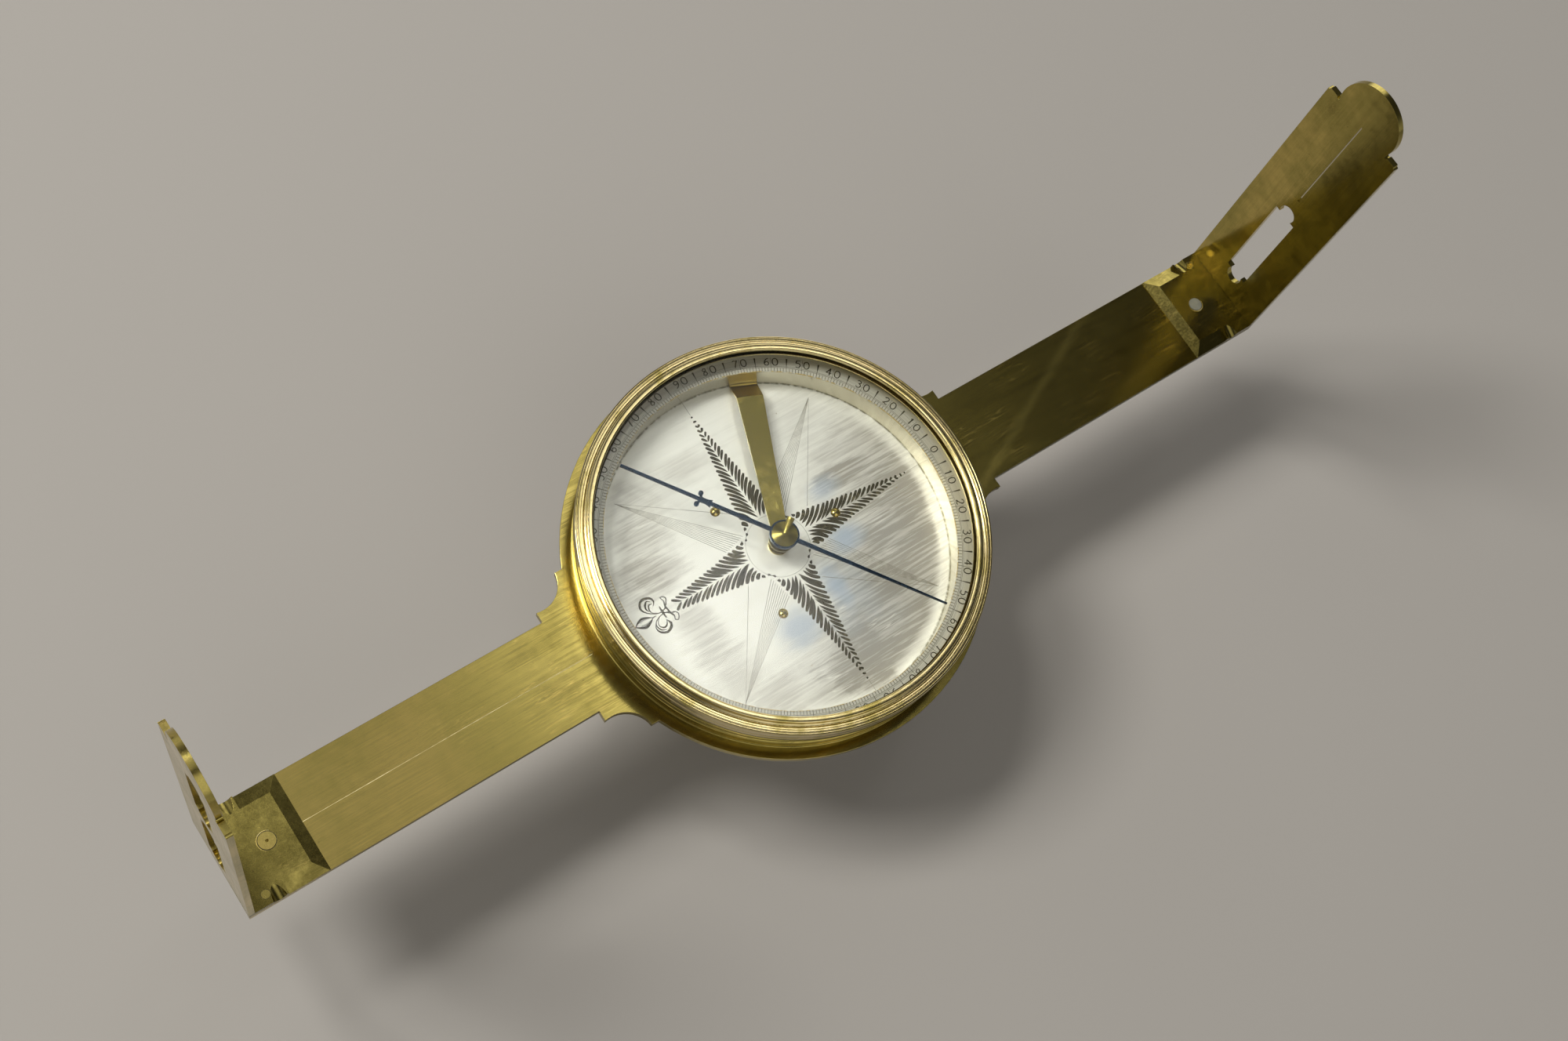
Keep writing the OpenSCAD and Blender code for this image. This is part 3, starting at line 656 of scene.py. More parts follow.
def steel(name, tone, rough, lines=3000.0, edge=(0.3, 0.34, 0.4), way=(0.0, 0.0, 0.0), rust=0.0):
    """Steel, blued or grey, drawn along its length, with small worn and rusty places."""
    material, tree, shader, where = start(name)
    local = add(tree, "ShaderNodeMapping", {"Vector": where, "Rotation": way}).outputs[0]
    marks = place(tree, brushed_group(), Vector=local, Lines=lines)
    cloud = span(tree, noise(tree, where, 350.0, 4, 0.6), 0.5, 0.8)
    colour = over(tree, cloud, 0.5, tone, edge)
    spots = place(tree, specks_group(), Vector=where, Cells=900.0, Sparse=0.7)
    brown = tint(tree, spots["Pick"], (0.12, 0.08, 0.05), (0.30, 0.30, 0.31))
    colour = over(tree, spots["Mask"], rust, colour, brown)
    value = plus(tree, times(tree, cloud, 0.5), times(tree, marks["Mask"], 0.5))
    finish(tree, shader, colour, span(tree, value, 0.0, 1.0, rough[0], rough[1]), marks["Height"], 0.1)
    return material


def stone_material(name):
    """Banded red-brown agate."""
    material, tree, shader, where = start(name)
    bands = add(tree, "ShaderNodeTexWave",
                {"Vector": where, "Scale": 900.0, "Distortion": 6.0, "Detail": 3.0},
                wave_type="BANDS").outputs["Fac"]
    colour = tint(tree, bands, (0.30, 0.07, 0.04), (0.62, 0.30, 0.20))
    finish(tree, shader, colour, span(tree, bands, 0.0, 1.0, 0.08, 0.14), metal=0.0)
    shader.inputs["Coat Weight"].default_value = 0.3
    return material


def glass_material(name):
    """Clear old glass with a little dust; shadow rays pass straight through it."""
    material, tree, shader, where = start(name)
    shader.inputs["Base Color"].default_value = (0.97, 0.985, 0.975, 1)
    shader.inputs["Metallic"].default_value = 0.0
    shader.inputs["Transmission Weight"].default_value = 1.0
    shader.inputs["IOR"].default_value = 1.22
    smear = noise(tree, where, 45.0, 4, 0.6)
    tree.links.new(span(tree, smear, 0.55, 0.8, 0.0, 0.05), shader.inputs["Roughness"])
    clear = add(tree, "ShaderNodeBsdfTransparent", {"Color": (0.97, 0.98, 0.97, 1)})
    path = add(tree, "ShaderNodeLightPath").outputs
    through = calc(tree, "MAXIMUM", path["Is Shadow Ray"], path["Is Diffuse Ray"])
    mixed = add(tree, "ShaderNodeMixShader", {0: through, 1: shader.outputs[0], 2: clear.outputs[0]})
    tree.links.new(mixed.outputs[0], tree.nodes["Material Output"].inputs["Surface"])
    return material


def dress(node, material):
    """Gives a CAD node its finish."""
    mesh = frame["nodes"][node].data
    if not mesh.materials:
        mesh.materials.append(material)
    for i in range(len(mesh.materials)):
        mesh.materials[i] = material


def settings(context):
    """Sizes, colours and light of the scene."""
    scene = context.scene
    return scene.compass_sizes, scene.compass_colours, scene.compass_light


class COMPASS_OT_stage(bpy.types.Operator):
    """Set up the floor, the camera and the soft studio light"""
    bl_idname = "compass.stage"
    bl_label = "Floor, camera and light"

    def execute(self, context):
        colours, light = settings(context)[1:]
        scene = context.scene
        camera = bpy.data.objects.new("camera", bpy.data.cameras.new("camera"))
        scene.collection.objects.link(camera)
        camera.data.sensor_width = CAMERA_SENSOR
        camera.data.lens = CAMERA_LENS
        camera.data.clip_start = 0.01
        camera.matrix_world = Matrix.Translation(CAMERA_AT) @ Matrix(CAMERA_AXES).transposed().to_4x4()
        scene.camera = camera

        r = FLOOR_REACH
        floor_mesh = bpy.data.meshes.new("floor")
        floor_mesh.from_pydata([(-r, -r, 0), (r, -r, 0), (r, r, 0), (-r, r, 0)], [], [(0, 1, 2, 3)])
        floor = bpy.data.objects.new("floor", floor_mesh)
        scene.collection.objects.link(floor)
        material, tree, shader, where = start("floor paper")
        cloud = noise(tree, where, 3.0, 3, 0.5)
        grain = noise(tree, where, 1200.0, 2, 0.5)
        shade = over(tree, cloud, 0.25, colours.floor,
                     [c * 0.93 for c in colours.floor])
        shade = over(tree, grain, 0.05, shade, (0.36, 0.33, 0.3))
        finish(tree, shader, shade, span(tree, grain, 0.0, 1.0, 0.85, 0.95), metal=0.0)
        shader.inputs["Specular IOR Level"].default_value = 0.2
        floor_mesh.materials.append(material)

        aim = Vector((0.0, 0.0, 0.06))
        for (name, toward, away, size), power in zip(LAMPS, (light.key_power, light.top_power)):
            lamp_data = bpy.data.lights.new(name, "AREA")
            lamp_data.shape = "DISK"
            lamp_data.size = size
            lamp_data.energy = power
            lamp_data.color = LAMP_COLOUR
            lamp = bpy.data.objects.new(name, lamp_data)
            scene.collection.objects.link(lamp)
            toward = Vector(toward).normalized()
            lamp.rotation_euler = (-toward).to_track_quat("-Z", "Y").to_euler()
            lamp.location = aim + toward * away

        world = bpy.data.worlds.new("studio")
        scene.world = world
        world.use_nodes = True
        tree = world.node_tree
        tree.nodes.clear()
        way = add(tree, "ShaderNodeTexCoord").outputs["Generated"]
        height = add(tree, "ShaderNodeSeparateXYZ", {0: way}).outputs["Z"]
        # the room is lighter round the horizon than overhead, and has its panels on top of that
        level = span(tree, height, 0.05, 0.6, 0.42, 0.05)
        for toward, inner, outer, strength in PANELS:
            facing = vector(tree, "DOT_PRODUCT", way, tuple(Vector(toward).normalized()))
            panel = span(tree, facing, math.cos(math.radians(outer)), math.cos(math.radians(inner)),
                         0.0, strength)
            level = plus(tree, level, panel)
        seen = add(tree, "ShaderNodeLightPath").outputs["Is Camera Ray"]
        strength = times(tree, level, light.room)
        room = add(tree, "ShaderNodeBackground", {"Color": (*LAMP_COLOUR, 1), "Strength": strength})
        wall = add(tree, "ShaderNodeBackground", {"Color": (*colours.floor, 1), "Strength": 1.0})
        both = add(tree, "ShaderNodeMixShader", {0: seen, 1: room.outputs[0], 2: wall.outputs[0]})
        add(tree, "ShaderNodeOutputWorld", {"Surface": both.outputs[0]})
        scene.view_settings.view_transform = "Standard"
        return {"FINISHED"}


BEZEL_OUTLINE = (  # radius, height above the plate, rounding, in millimetres
    (66.38, 11.8, 0.15), (68.0, 11.8, 0.25), (68.0, 14.2, 0.1), (67.72, 14.6, 0.2), (68.0, 15.0, 0.1),
    (68.0, 17.6, 0.65), (67.3, 17.6, 0.05), (67.22, 17.52, 0.03), (67.14, 17.6, 0.05),
    (66.3, 17.62, 0.05), (66.22, 17.5, 0.04), (66.12, 17.62, 0.05), (65.5, 17.6, 0.12),
    (65.0, 17.38, 0.35), (64.25, 17.72, 0.25), (64.12, 18.3, 0.1), (64.22, 18.42, 0.05),
    (64.1, 18.55, 0.1), (64.42, 18.85, 0.2), (64.35, 19.6, 0.6), (62.3, 19.6, 0.5), (62.3, 18.2, 0.1),
    (63.55, 18.2, 0.05), (63.55, 15.4, 0.05), (66.38, 15.4, 0.05))
BOX_OUTLINE = (
    (57.0, 0.0, 0.05), (67.5, 0.0, 0.1), (67.5, 0.92, 0.3), (67.02, 0.98, 0.05), (67.0, 3.0, 0.4),
    (66.98, 4.2, 0.5), (66.45, 4.5, 0.12), (66.32, 4.75, 0.05), (66.32, 5.2, 0.05), (66.8, 5.45, 0.3),
    (66.8, 6.55, 0.3), (66.32, 6.8, 0.05), (66.3, 8.15, 0.05), (66.58, 8.2, 0.12), (66.58, 8.7, 0.12),
    (66.3, 8.75, 0.05), (66.3, 15.2, 0.1), (64.6, 15.2, 0.1), (64.6, 0.6, 0.02), (57.0, 0.6, 0.05))


def outline(points):
    """Millimetre outline, heights above the plate, to metres in the frame."""
    return rounded(points) * MM + np.array([0, PLATE_TOP])


class COMPASS_OT_turned(bpy.types.Operator):
    """Turn the box wall and the bezel"""
    bl_idname = "compass.turned"
    bl_label = "Box wall and bezel"

    def execute(self, context):
        sizes, colours = settings(context)[:2]
        # The bezel's paler brass and thin tarnish are partly painted highlight: they stand in for the whitened
        # highlights on its turned faces.
        bezel_finish = brass("brass bezel", colours, lines=2300.0, amount=0.08, size=45.0,
                             rough=(0.15, 0.28), bump=0.02, bright=(0.72, 0.60, 0.31), drift=0.07, tone=0.12)
        box_finish = brass("brass box", colours, lines=2300.0, amount=0.42, size=45.0, rough=(0.16, 0.32),
                           bump=0.025, drift=0.07, tone=0.14)
        for name, points, node, body, slot, finish_of in (
                ("turned_bezel", BEZEL_OUTLINE, "bezel_ring", "bezel", "brass_bezel", bezel_finish),
                ("turned_box", BOX_OUTLINE, "compass_box", "compass_body", "brass_box", box_finish)):
            surface = turned(outline(points), sizes.turning_steps)
            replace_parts(make_piece(name, *surface, body, slot, finish_of, 28), node)
        dress("glass_retainer", bezel_finish)
        dress("cover_glass", glass_material("cover glass"))
        return {"FINISHED"}


class COMPASS_OT_plate(bpy.types.Operator):
    """Finish the sight plate with its brushed faces, soft edges and scribed centre line"""
    bl_idname = "compass.plate"
    bl_label = "Sight plate"

    def execute(self, context):
        sizes, colours = settings(context)[:2]
        finish_of = brass("brass plate", colours, grain="brushed", lines=2600.0, amount=0.2, size=28.0,
                          rough=(0.11, 0.22), bump=0.08, specks=0.84, tone=0.38, contrast=1.3,
                          # Along Y the arms darken over the southern half and toward the box: partly tarnish,
                          # partly painted shade for the reflected light that falls off there.
                          zones=(((0, 1, 0), 0.05, -0.06, 0.46), ((0, 1, 0), 0.14, 0.085, 0.42),
                                 # painted highlight: a pale diagonal band of thinner tarnish across the
                                 # southern arm
                                 (PAINTED_HIGHLIGHT_BAND_WAY, -50.5 * MM, -47.5 * MM, -0.4),
                                 (PAINTED_HIGHLIGHT_BAND_WAY, -47.5 * MM, -44.5 * MM, 0.4)))
        softened("main_plate", sizes.edge_softness, finish_of, "sight_plate")
        stations = 40
        sway = 0.05 * np.sin(np.linspace(0, 5, stations))
        line = np.stack([sway, np.linspace(*SCRIBED, stations)], -1)[None] * MM
        width = (0.16 + 0.05 * np.sin(np.linspace(0, 19, stations)))[None] * MM
        pale = hairline_material("scribed line", (0.55, 0.45, 0.22), (0.8, 0.7, 0.42))
        pale.node_tree.nodes["Principled BSDF"].inputs["Metallic"].default_value = 1.0
        points, faces = ribbons(line, width, PLATE_TOP - SUNK, PLATE_TOP + sizes.engraving)
        make_piece("arm_centre_line", points, faces, "compass_body", "brass_plate", pale)
        return {"FINISHED"}


def star_strokes(sizes):
    """Herringbone strokes of the four cardinal points.

    A stroke ends outside at (u, h(u)), where h(u) is the point's half width that falls evenly from the
    corner to the tip. It runs back at a fixed angle to the middle line or to the centre circle, whichever
    comes first, and bows a little. It is thick outside and thin inside.
    """
    rng = np.random.default_rng(7)
    tip, corner, circle = sizes.star_tip / MM, sizes.star_corner / MM * math.sqrt(0.5), 11.6
    count, stations = 26, 7
    u = np.linspace(0, 1, count)
    out_u = corner + 0.7 + (tip - corner - 1.6) * u ** 0.93
    lines, widths = [], []
    for azimuth, last in ((0, 1.0), (90, 0.74), (180, 1.0), (270, 1.0)):
        keep = u <= last
        for side in (-1, 1):
            ou = out_u[keep] + rng.uniform(-0.12, 0.12, keep.sum())
            half = corner * (tip - ou) / (tip - corner)
            ov = half * rng.uniform(0.93, 1.0, keep.sum())
            lean = np.radians(38 - 5 * u[keep] + rng.uniform(-2, 2, keep.sum()))
            cu, cv = np.cos(lean), np.sin(lean)
            b = ou * cu + ov * cv
            root = np.sqrt(np.maximum(b ** 2 - (ou ** 2 + ov ** 2 - circle ** 2), 0))
            to_circle = np.where(b ** 2 > ou ** 2 + ov ** 2 - circle ** 2, b - root, 99)
            length = np.maximum(np.minimum(ov / cv * 0.93, to_circle), 0.5)
            t = np.linspace(0, 1, stations)[None, :]
            bow = (0.8 * (1 - u[keep]) ** 2 * np.minimum(length / 5, 1))[:, None] * np.sin(np.pi * t)
            su = (ou - length * cu)[:, None] + (length * cu)[:, None] * t + bow * cv[:, None]
            sv = (ov - length * cv)[:, None] + (length * cv)[:, None] * t - bow * cu[:, None]
            lines.append(np.stack([su, side * sv], -1) @ quarter(azimuth))
            thick = (1.48 - 0.76 * u[keep]) * rng.uniform(0.82, 1.12, keep.sum())
            shape = np.array([0.14, 0.62, 0.86, 0.97, 1.0, 0.96, 0.6])
            widths.append(thick[:, None] * shape[None, :])
    return np.concatenate(lines) * MM, np.concatenate(widths) * MM


def hair_strokes(sizes):
    """Fine straight lines: the shaded halves and outlines of the four between points, and the long axes.

    Line k of a point runs straight from (u, slope (tip - u) k / 9), with u growing with the size of k, to
    the tip at (tip, 0), and thins as it goes. Every line is (1 - t) A + t B, turned to its azimuth.
    """
    tip, slope = 55.0, 0.176
    lines, widths = [], []
    t = np.linspace(0, 1, 4)[:, None]
    for azimuth in (45, 135, 225, 315):
        for k in (-9, *range(10)):
            start_u = 12.0 + 4.2 * abs(k) / 9
            v = slope * (tip - start_u) * k / 9
            ends = np.array([[start_u, v], [tip, 0.0]])
            lines.append(((1 - t) * ends[0] + t * ends[1]) @ quarter(azimuth))
            thick = (0.16, 0.07) if k in (-9, 0, 9) else (0.15, 0.03)
            widths.append(np.linspace(*thick, 4))
    for azimuth, first in ((0, 53.0), (90, 55.4), (180, 53.0), (270, 53.0)):
        ends = np.array([[first, 0.0], [58.0, 0.0]])
        lines.append(((1 - t) * ends[0] + t * ends[1]) @ quarter(azimuth))
        widths.append(np.full(4, 0.11))
    return np.array(lines) * MM, np.array(widths) * MM


FLOWER = (  # strokes of the flower at the north point: points in millimetres, then widths along the stroke
    (((0, 49.0), (-1.05, 50.4), (-1.72, 52.3), (-1.0, 54.0), (0, 55.5)), (0.14, 0.3, 0.5, 0.42, 0.16)),
    (((0, 49.0), (0.95, 50.5), (1.5, 52.3), (1.0, 54.0), (0, 55.5)), (0.14, 0.26, 0.42, 0.36, 0.16)),
    (((0, 47.8), (0.03, 48.4), (0, 49.1)), (0.16, 0.2, 0.22)),
    (((-0.55, 45.6), (-0.8, 47.1), (-1.8, 48.8), (-3.5, 49.95), (-5.4, 49.3), (-6.35, 47.4), (-5.6, 45.6),
      (-4.3, 44.8), (-2.6, 45.6)), (0.2, 0.16, 0.16, 0.2, 0.42, 0.5, 0.6, 0.5, 0.1)),
    (((-0.7, 46.6), (-1.3, 47.6), (-2.5, 48.5), (-3.7, 48.5), (-4.6, 47.4), (-4.1, 46.2), (-2.9, 45.5)),
     (0.1, 0.12, 0.14, 0.22, 0.4, 0.3, 0.1)),
    (((-1.2, 48.3), (-2.4, 49.2), (-3.6, 49.3), (-4.9, 48.6), (-5.5, 47.2)), (0.08, 0.14, 0.24, 0.3, 0.12)),
    (((0.2, 45.6), (0.5, 47.2), (1.8, 49.3), (3.2, 50.5), (4.6, 50.9), (6.3, 49.9), (6.8, 48.3), (6.0, 46.3),
      (4.4, 45.85), (3.2, 46.9)), (0.2, 0.16, 0.2, 0.3, 0.46, 0.5, 0.56, 0.5, 0.3, 0.1)),
    (((0.6, 46.8), (1.5, 48.3), (2.8, 48.6), (4.2, 47.9), (4.05, 46.8)), (0.1, 0.14, 0.3, 0.34, 0.12)),
    (((2.3, 49.0), (3.6, 49.35), (4.8, 48.9), (5.6, 47.9), (5.0, 46.9)), (0.1, 0.36, 0.46, 0.3, 0.12)),
    (((-2.1, 45.1), (-1.0, 45.25), (0, 45.2), (1.1, 45.25), (2.1, 45.2)), (0.3, 0.34, 0.6, 0.34, 0.28)),
    (((-0.4, 45.0), (-0.8, 44.0), (-1.5, 43.0), (-1.8, 42.2)), (0.2, 0.3, 0.4, 0.2)),
    (((0.4, 45.0), (0.6, 44.2), (1.1, 43.5)), (0.2, 0.22, 0.3)),
    (((-0.2, 43.4), (-1.6, 43.1), (-2.8, 42.6), (-4.1, 43.1)), (0.4, 0.36, 0.26, 0.14)),
    (((-4.1, 43.1), (-4.5, 42.1), (-3.1, 41.1), (-2.0, 41.5), (-1.6, 42.3)), (0.16, 0.2, 0.2, 0.18, 0.3)),
    (((-0.2, 43.2), (0.9, 43.5), (2.0, 43.3), (3.1, 43.0), (4.5, 43.5)), (0.3, 0.42, 0.3, 0.2, 0.14)),
    (((4.5, 43.5), (4.4, 42.5), (3.5, 41.9), (2.4, 42.5), (1.5, 43.1)), (0.16, 0.22, 0.26, 0.2, 0.3)))


def flower_strokes():
    """The flower's outlines, each a smooth curve through its points, and the leaf's short shading lines.

    A shading line at height y starts at 1.35 sin(pi (y - 49) / 6.5) from the middle, on either side, and
    runs inward over 0.62 of that while it drops by 0.75.
    """
    stations = 17
    lines, widths = [], []
    for points, thick in FLOWER:
        lines.append(spline(points, stations))
        widths.append(np.interp(np.linspace(0, 1, stations), np.linspace(0, 1, len(thick)), thick))
    rise = np.linspace(50.2, 53.8, 9)
    reach = 1.35 * np.sin(np.pi * (rise - 49.0) / 6.5)
    t = np.linspace(0, 1, stations)
    for side in (-1, 1):
        x = side * (reach[:, None] * (1 - 0.62 * t))
        y = rise[:, None] + 0.1 - 0.75 * t
        lines.extend(np.stack([x, y + 0 * x], -1))
        widths.extend(np.tile(0.2 - 0.14 * t, (len(rise), 1)))
    return np.array(lines) * MM, 1.6 * np.array(widths) * MM


DIAL_PATCHES = (  # x, y, reach across and along in millimetres, then how grey and how blue
    (-13, 38, 15, 6, 0.5, 0.0), (-30, 36, 12, 7, 0.4, 0.0), (-44, 28, 8, 10, 0.5, 0.0),
    (13, 43, 8, 9, 0.9, 0.0), (24, 38, 9, 8, 0.65, 0.0), (34, 33, 7, 9, 0.45, 0.0),
    (38, 14, 5, 12, 0.4, 0.0),
    (-26, -14, 15, 8, 0.75, 0.3), (-37, -19, 12, 9, 0.8, 0.1), (-46, -16, 6, 9, 0.85, 0.0),
    (-15, -33, 10, 11, 1.0, 0.05), (-25, -38, 10, 8, 0.55, 0.0), (10, -36, 6, 13, 1.0, 0.0),
    (18, -35, 6, 8, 0.5, 0.0), (-27, 10, 8, 9, 0.1, 0.75), (-22, -9, 11, 6, 0.1, 0.85),
    (-9, -21, 6, 8, 0.2, 0.85), (9, -24, 5, 7, 0.3, 0.6), (-45, -1, 10, 13, 1.25, 0.0),
    (-33, -4, 8, 9, 0.5, 0.25),
    (-6, -44, 34, 13, 0.62, 0.0), (32, -34, 14, 12, 0.28, 0.0), (-38, -6, 14, 20, 0.3, 0.1))


class COMPASS_OT_dial(bpy.types.Operator):
    """Silver the dial and engrave the star and its flower"""
    bl_idname = "compass.dial"
    bl_label = "Silvered dial"

    def execute(self, context):
        sizes, colours = settings(context)[:2]
        dress("dial_plate", silvered("silvered dial", colours, DIAL_PATCHES, (0.30, 0.52)))
        wax = wax_material("engraver wax", colours)
        hair = hairline_material("hairline", (0.17, 0.155, 0.11), (0.44, 0.41, 0.33))
        low, high = DIAL_TOP - SUNK, DIAL_TOP + sizes.engraving
        for name, strokes, finish_of in (("star_strokes", star_strokes(sizes), wax),
                                         ("star_hairlines", hair_strokes(sizes), hair),
                                         ("north_flower", flower_strokes(), wax)):
            make_piece(name, *ribbons(*strokes, low, high), "compass_body", "silvered_dial", finish_of)
        circle_line("star_circle", 10.82, 0.1, low, high, 180, "silvered_dial", hair)
        return {"FINISHED"}


FIGURES = {  # strokes of each figure on a grid one high
    "0": (((0, 1), (-0.27, 0.86), (-0.36, 0.5), (-0.27, 0.14), (0, 0), (0.27, 0.14), (0.36, 0.5),
           (0.27, 0.86), (0, 1)),),
    "1": (((0.02, 1), (0, 0.5), (0, 0)), ((-0.2, 0.78), (-0.08, 0.86), (0.02, 1))),
    "2": (((-0.28, 0.78), (-0.14, 0.97), (0.14, 0.97), (0.27, 0.74), (0.1, 0.42), (-0.3, 0.02)),
          ((-0.3, 0.02), (-0.05, 0.08), (0.14, 0.0), (0.34, 0.08))),
    "3": (((-0.28, 0.88), (0, 1.0), (0.24, 0.8), (0.1, 0.6), (-0.06, 0.55)),
          ((-0.06, 0.55), (0.2, 0.5), (0.32, 0.28), (0.1, 0.0), (-0.3, 0.1))),
    "4": (((0.12, 1), (-0.1, 0.62), (-0.36, 0.3)), ((-0.36, 0.3), (0.0, 0.3), (0.36, 0.32)),
          ((0.12, 1), (0.12, 0.5), (0.12, 0))),
    "5": (((-0.2, 0.98), (0.02, 0.97), (0.28, 1.0)), ((-0.2, 0.98), (-0.24, 0.78), (-0.26, 0.56)),
          ((-0.26, 0.56), (0.06, 0.62), (0.3, 0.36), (0.12, 0.02), (-0.28, 0.08))),
    "6": (((0.22, 0.98), (-0.1, 0.8), (-0.3, 0.4), (-0.2, 0.06), (0.08, 0.0), (0.3, 0.2), (0.2, 0.46),
           (-0.05, 0.5), (-0.26, 0.3)),),
    "7": (((-0.3, 0.86), (-0.1, 0.98), (0.1, 0.9), (0.32, 0.98)), ((0.32, 0.98), (0.08, 0.5), (-0.06, 0))),
    "8": (((0, 0.54), (-0.24, 0.7), (-0.16, 0.94), (0.1, 0.98), (0.24, 0.78), (0, 0.54), (-0.26, 0.3),
           (-0.2, 0.04), (0.1, 0.0), (0.3, 0.22), (0.18, 0.42), (0, 0.54)),),
    "9": (((0.26, 0.7), (0.04, 0.5), (-0.2, 0.56), (-0.3, 0.8), (-0.08, 1.0), (0.2, 0.94), (0.3, 0.6),
           (0.1, 0.2), (-0.22, 0.02)),)}


def scale_strokes(sizes):
    """Divisions and figures of the ring, drawn flat as (distance round, radius) and then bent round it.

    A point (s, r) at azimuth a lands at the angle a - s / r, so figures stand with their tops outward. Gives
    the figures and bold marks first, and the fine degree lines second.
    """
    inner, middle = SCALE_START, SCALE_START + 2.25
    stations = 11
    bold, fine = ([], [], []), ([], [], [])

    def put(into, azimuth, points, thick):
        curve = spline(points, stations)
        into[0].append(curve)
        into[1].append(np.interp(np.linspace(0, 1, stations), np.linspace(0, 1, len(thick)), thick))
        into[2].append(azimuth)

    tall = sizes.figure_height / MM
    for step in range(36):
        azimuth = step * 10
        degrees = abs((azimuth - 90 + 180) % 360 - 180)
        number = str(min(degrees, 180 - degrees))
        for place_of, figure in enumerate(number):
            shift = (place_of - (len(number) - 1) / 2) * tall * 1.12
            for stroke in FIGURES[figure]:
                p = np.array(stroke) * tall
                size = np.hypot(*np.diff(p, axis=0).T)
                steep = np.abs(np.diff(p[:, 1])) / np.maximum(size, 1e-9)
                thick = 0.24 + 0.19 * np.concatenate([steep[:1], (steep[1:] + steep[:-1]) / 2, steep[-1:]])
                put(bold, azimuth, p + [shift, middle], thick)
        put(bold, azimuth + 5, [(0, inner + 1.9), (0, inner + 3.4), (0, inner + 4.9)], (0.12, 0.38, 0.62))
        put(fine, azimuth, [(0, inner + 0.1), (0, inner + 2.6), (0, inner + 5.1)], (0.18, 0.12, 0.09))
    for degree in range(360):
        if degree % 10:
            length = 1.75 if degree % 5 == 0 else 1.25
            put(fine, degree, [(0, inner + 0.1), (0, inner + 0.1 + length / 2), (0, inner + 0.1 + length)],
                (0.21, 0.19, 0.17))

    def bend(given):
        flat, thick = np.array(given[0]), np.array(given[1])
        angle = np.radians(given[2])[:, None] - flat[..., 0] / flat[..., 1]
        return np.stack([flat[..., 1] * np.cos(angle), flat[..., 1] * np.sin(angle)], -1) * MM, thick * MM
    return bend(bold), bend(fine)


class COMPASS_OT_ring(bpy.types.Operator):
    """Silver the degree ring and cut its divisions and figures"""
    bl_idname = "compass.ring"
    bl_label = "Degree ring"

    def execute(self, context):
        sizes, colours = settings(context)[:2]
        dress("degree_ring", silvered("silvered ring", colours, (), (0.26, 0.42), turned_lines=True))
        wax = wax_material("ring wax", colours)
        hair = hairline_material("ring hairline", (0.07, 0.06, 0.035), (0.22, 0.19, 0.13))
        low, high = RING_TOP - SUNK, RING_TOP + sizes.engraving
        bold, fine = scale_strokes(sizes)
        make_piece("ring_figures", *ribbons(*bold, low, high), "compass_body", "silvered_ring", wax)
        make_piece("ring_divisions", *ribbons(*fine, low, high), "compass_body", "silvered_ring", hair)
        for name, further in (("ring_inner_line", 1.45), ("ring_outer_line", 1.85)):
            circle_line(name, SCALE_START + further, 0.11, low, high, 240, "silvered_ring", hair)
        return {"FINISHED"}


class COMPASS_OT_needle(bpy.types.Operator):
    """Finish the needle, its cap and the lifter"""
    bl_idname = "compass.needle"
    bl_label = "Needle and lifter"

    def execute(self, context):
        colours = settings(context)[1]
        along = (0.0, 0.0, math.radians(54.4))
        dress("needle", steel("blued steel", tuple(colours.blued_steel), (0.2, 0.36), 2600.0,
                              edge=(0.04, 0.075, 0.12), way=along, rust=0.4))
        cap = brass("brass cap", colours, lines=5200.0, amount=1.2, size=160.0, rough=(0.24, 0.36))
        tangent = add(cap.node_tree, "ShaderNodeTangent", direction_type="RADIAL", axis="Z")
        shader = cap.node_tree.nodes["Principled BSDF"]
        shader.inputs["Anisotropic"].default_value = 0.8
        shader.inputs["Anisotropic Rotation"].default_value = 0.25
        cap.node_tree.links.new(tangent.outputs[0], shader.inputs["Tangent"])
        dress("needle_cap", cap)
        dress("cap_peg", brass("brass peg", colours, lines=5200.0, amount=0.8, size=200.0,
                               rough=(0.3, 0.45)))
        dress("cap_jewel", stone_material("agate"))
        # Toward its root the lifter turns to bright brass: a painted highlight on the bend where it rises from
        # the dial.
        dress("lifter_arm", brass("brass lifter", colours, grain="brushed", lines=2200.0, amount=1.15,
                                  size=60.0, rough=(0.2, 0.34), way=(0.0, 0.0, math.radians(112)),
                                  zones=((LIFTER_WAY, 50.5 * MM, 52.5 * MM, -1.6),)))
        dress("pivot_post", brass("brass post", colours, lines=5000.0, amount=0.5, size=150.0))
        dress("pivot_point", steel("pivot steel", (0.42, 0.42, 0.43), (0.15, 0.25)))
        return {"FINISHED"}


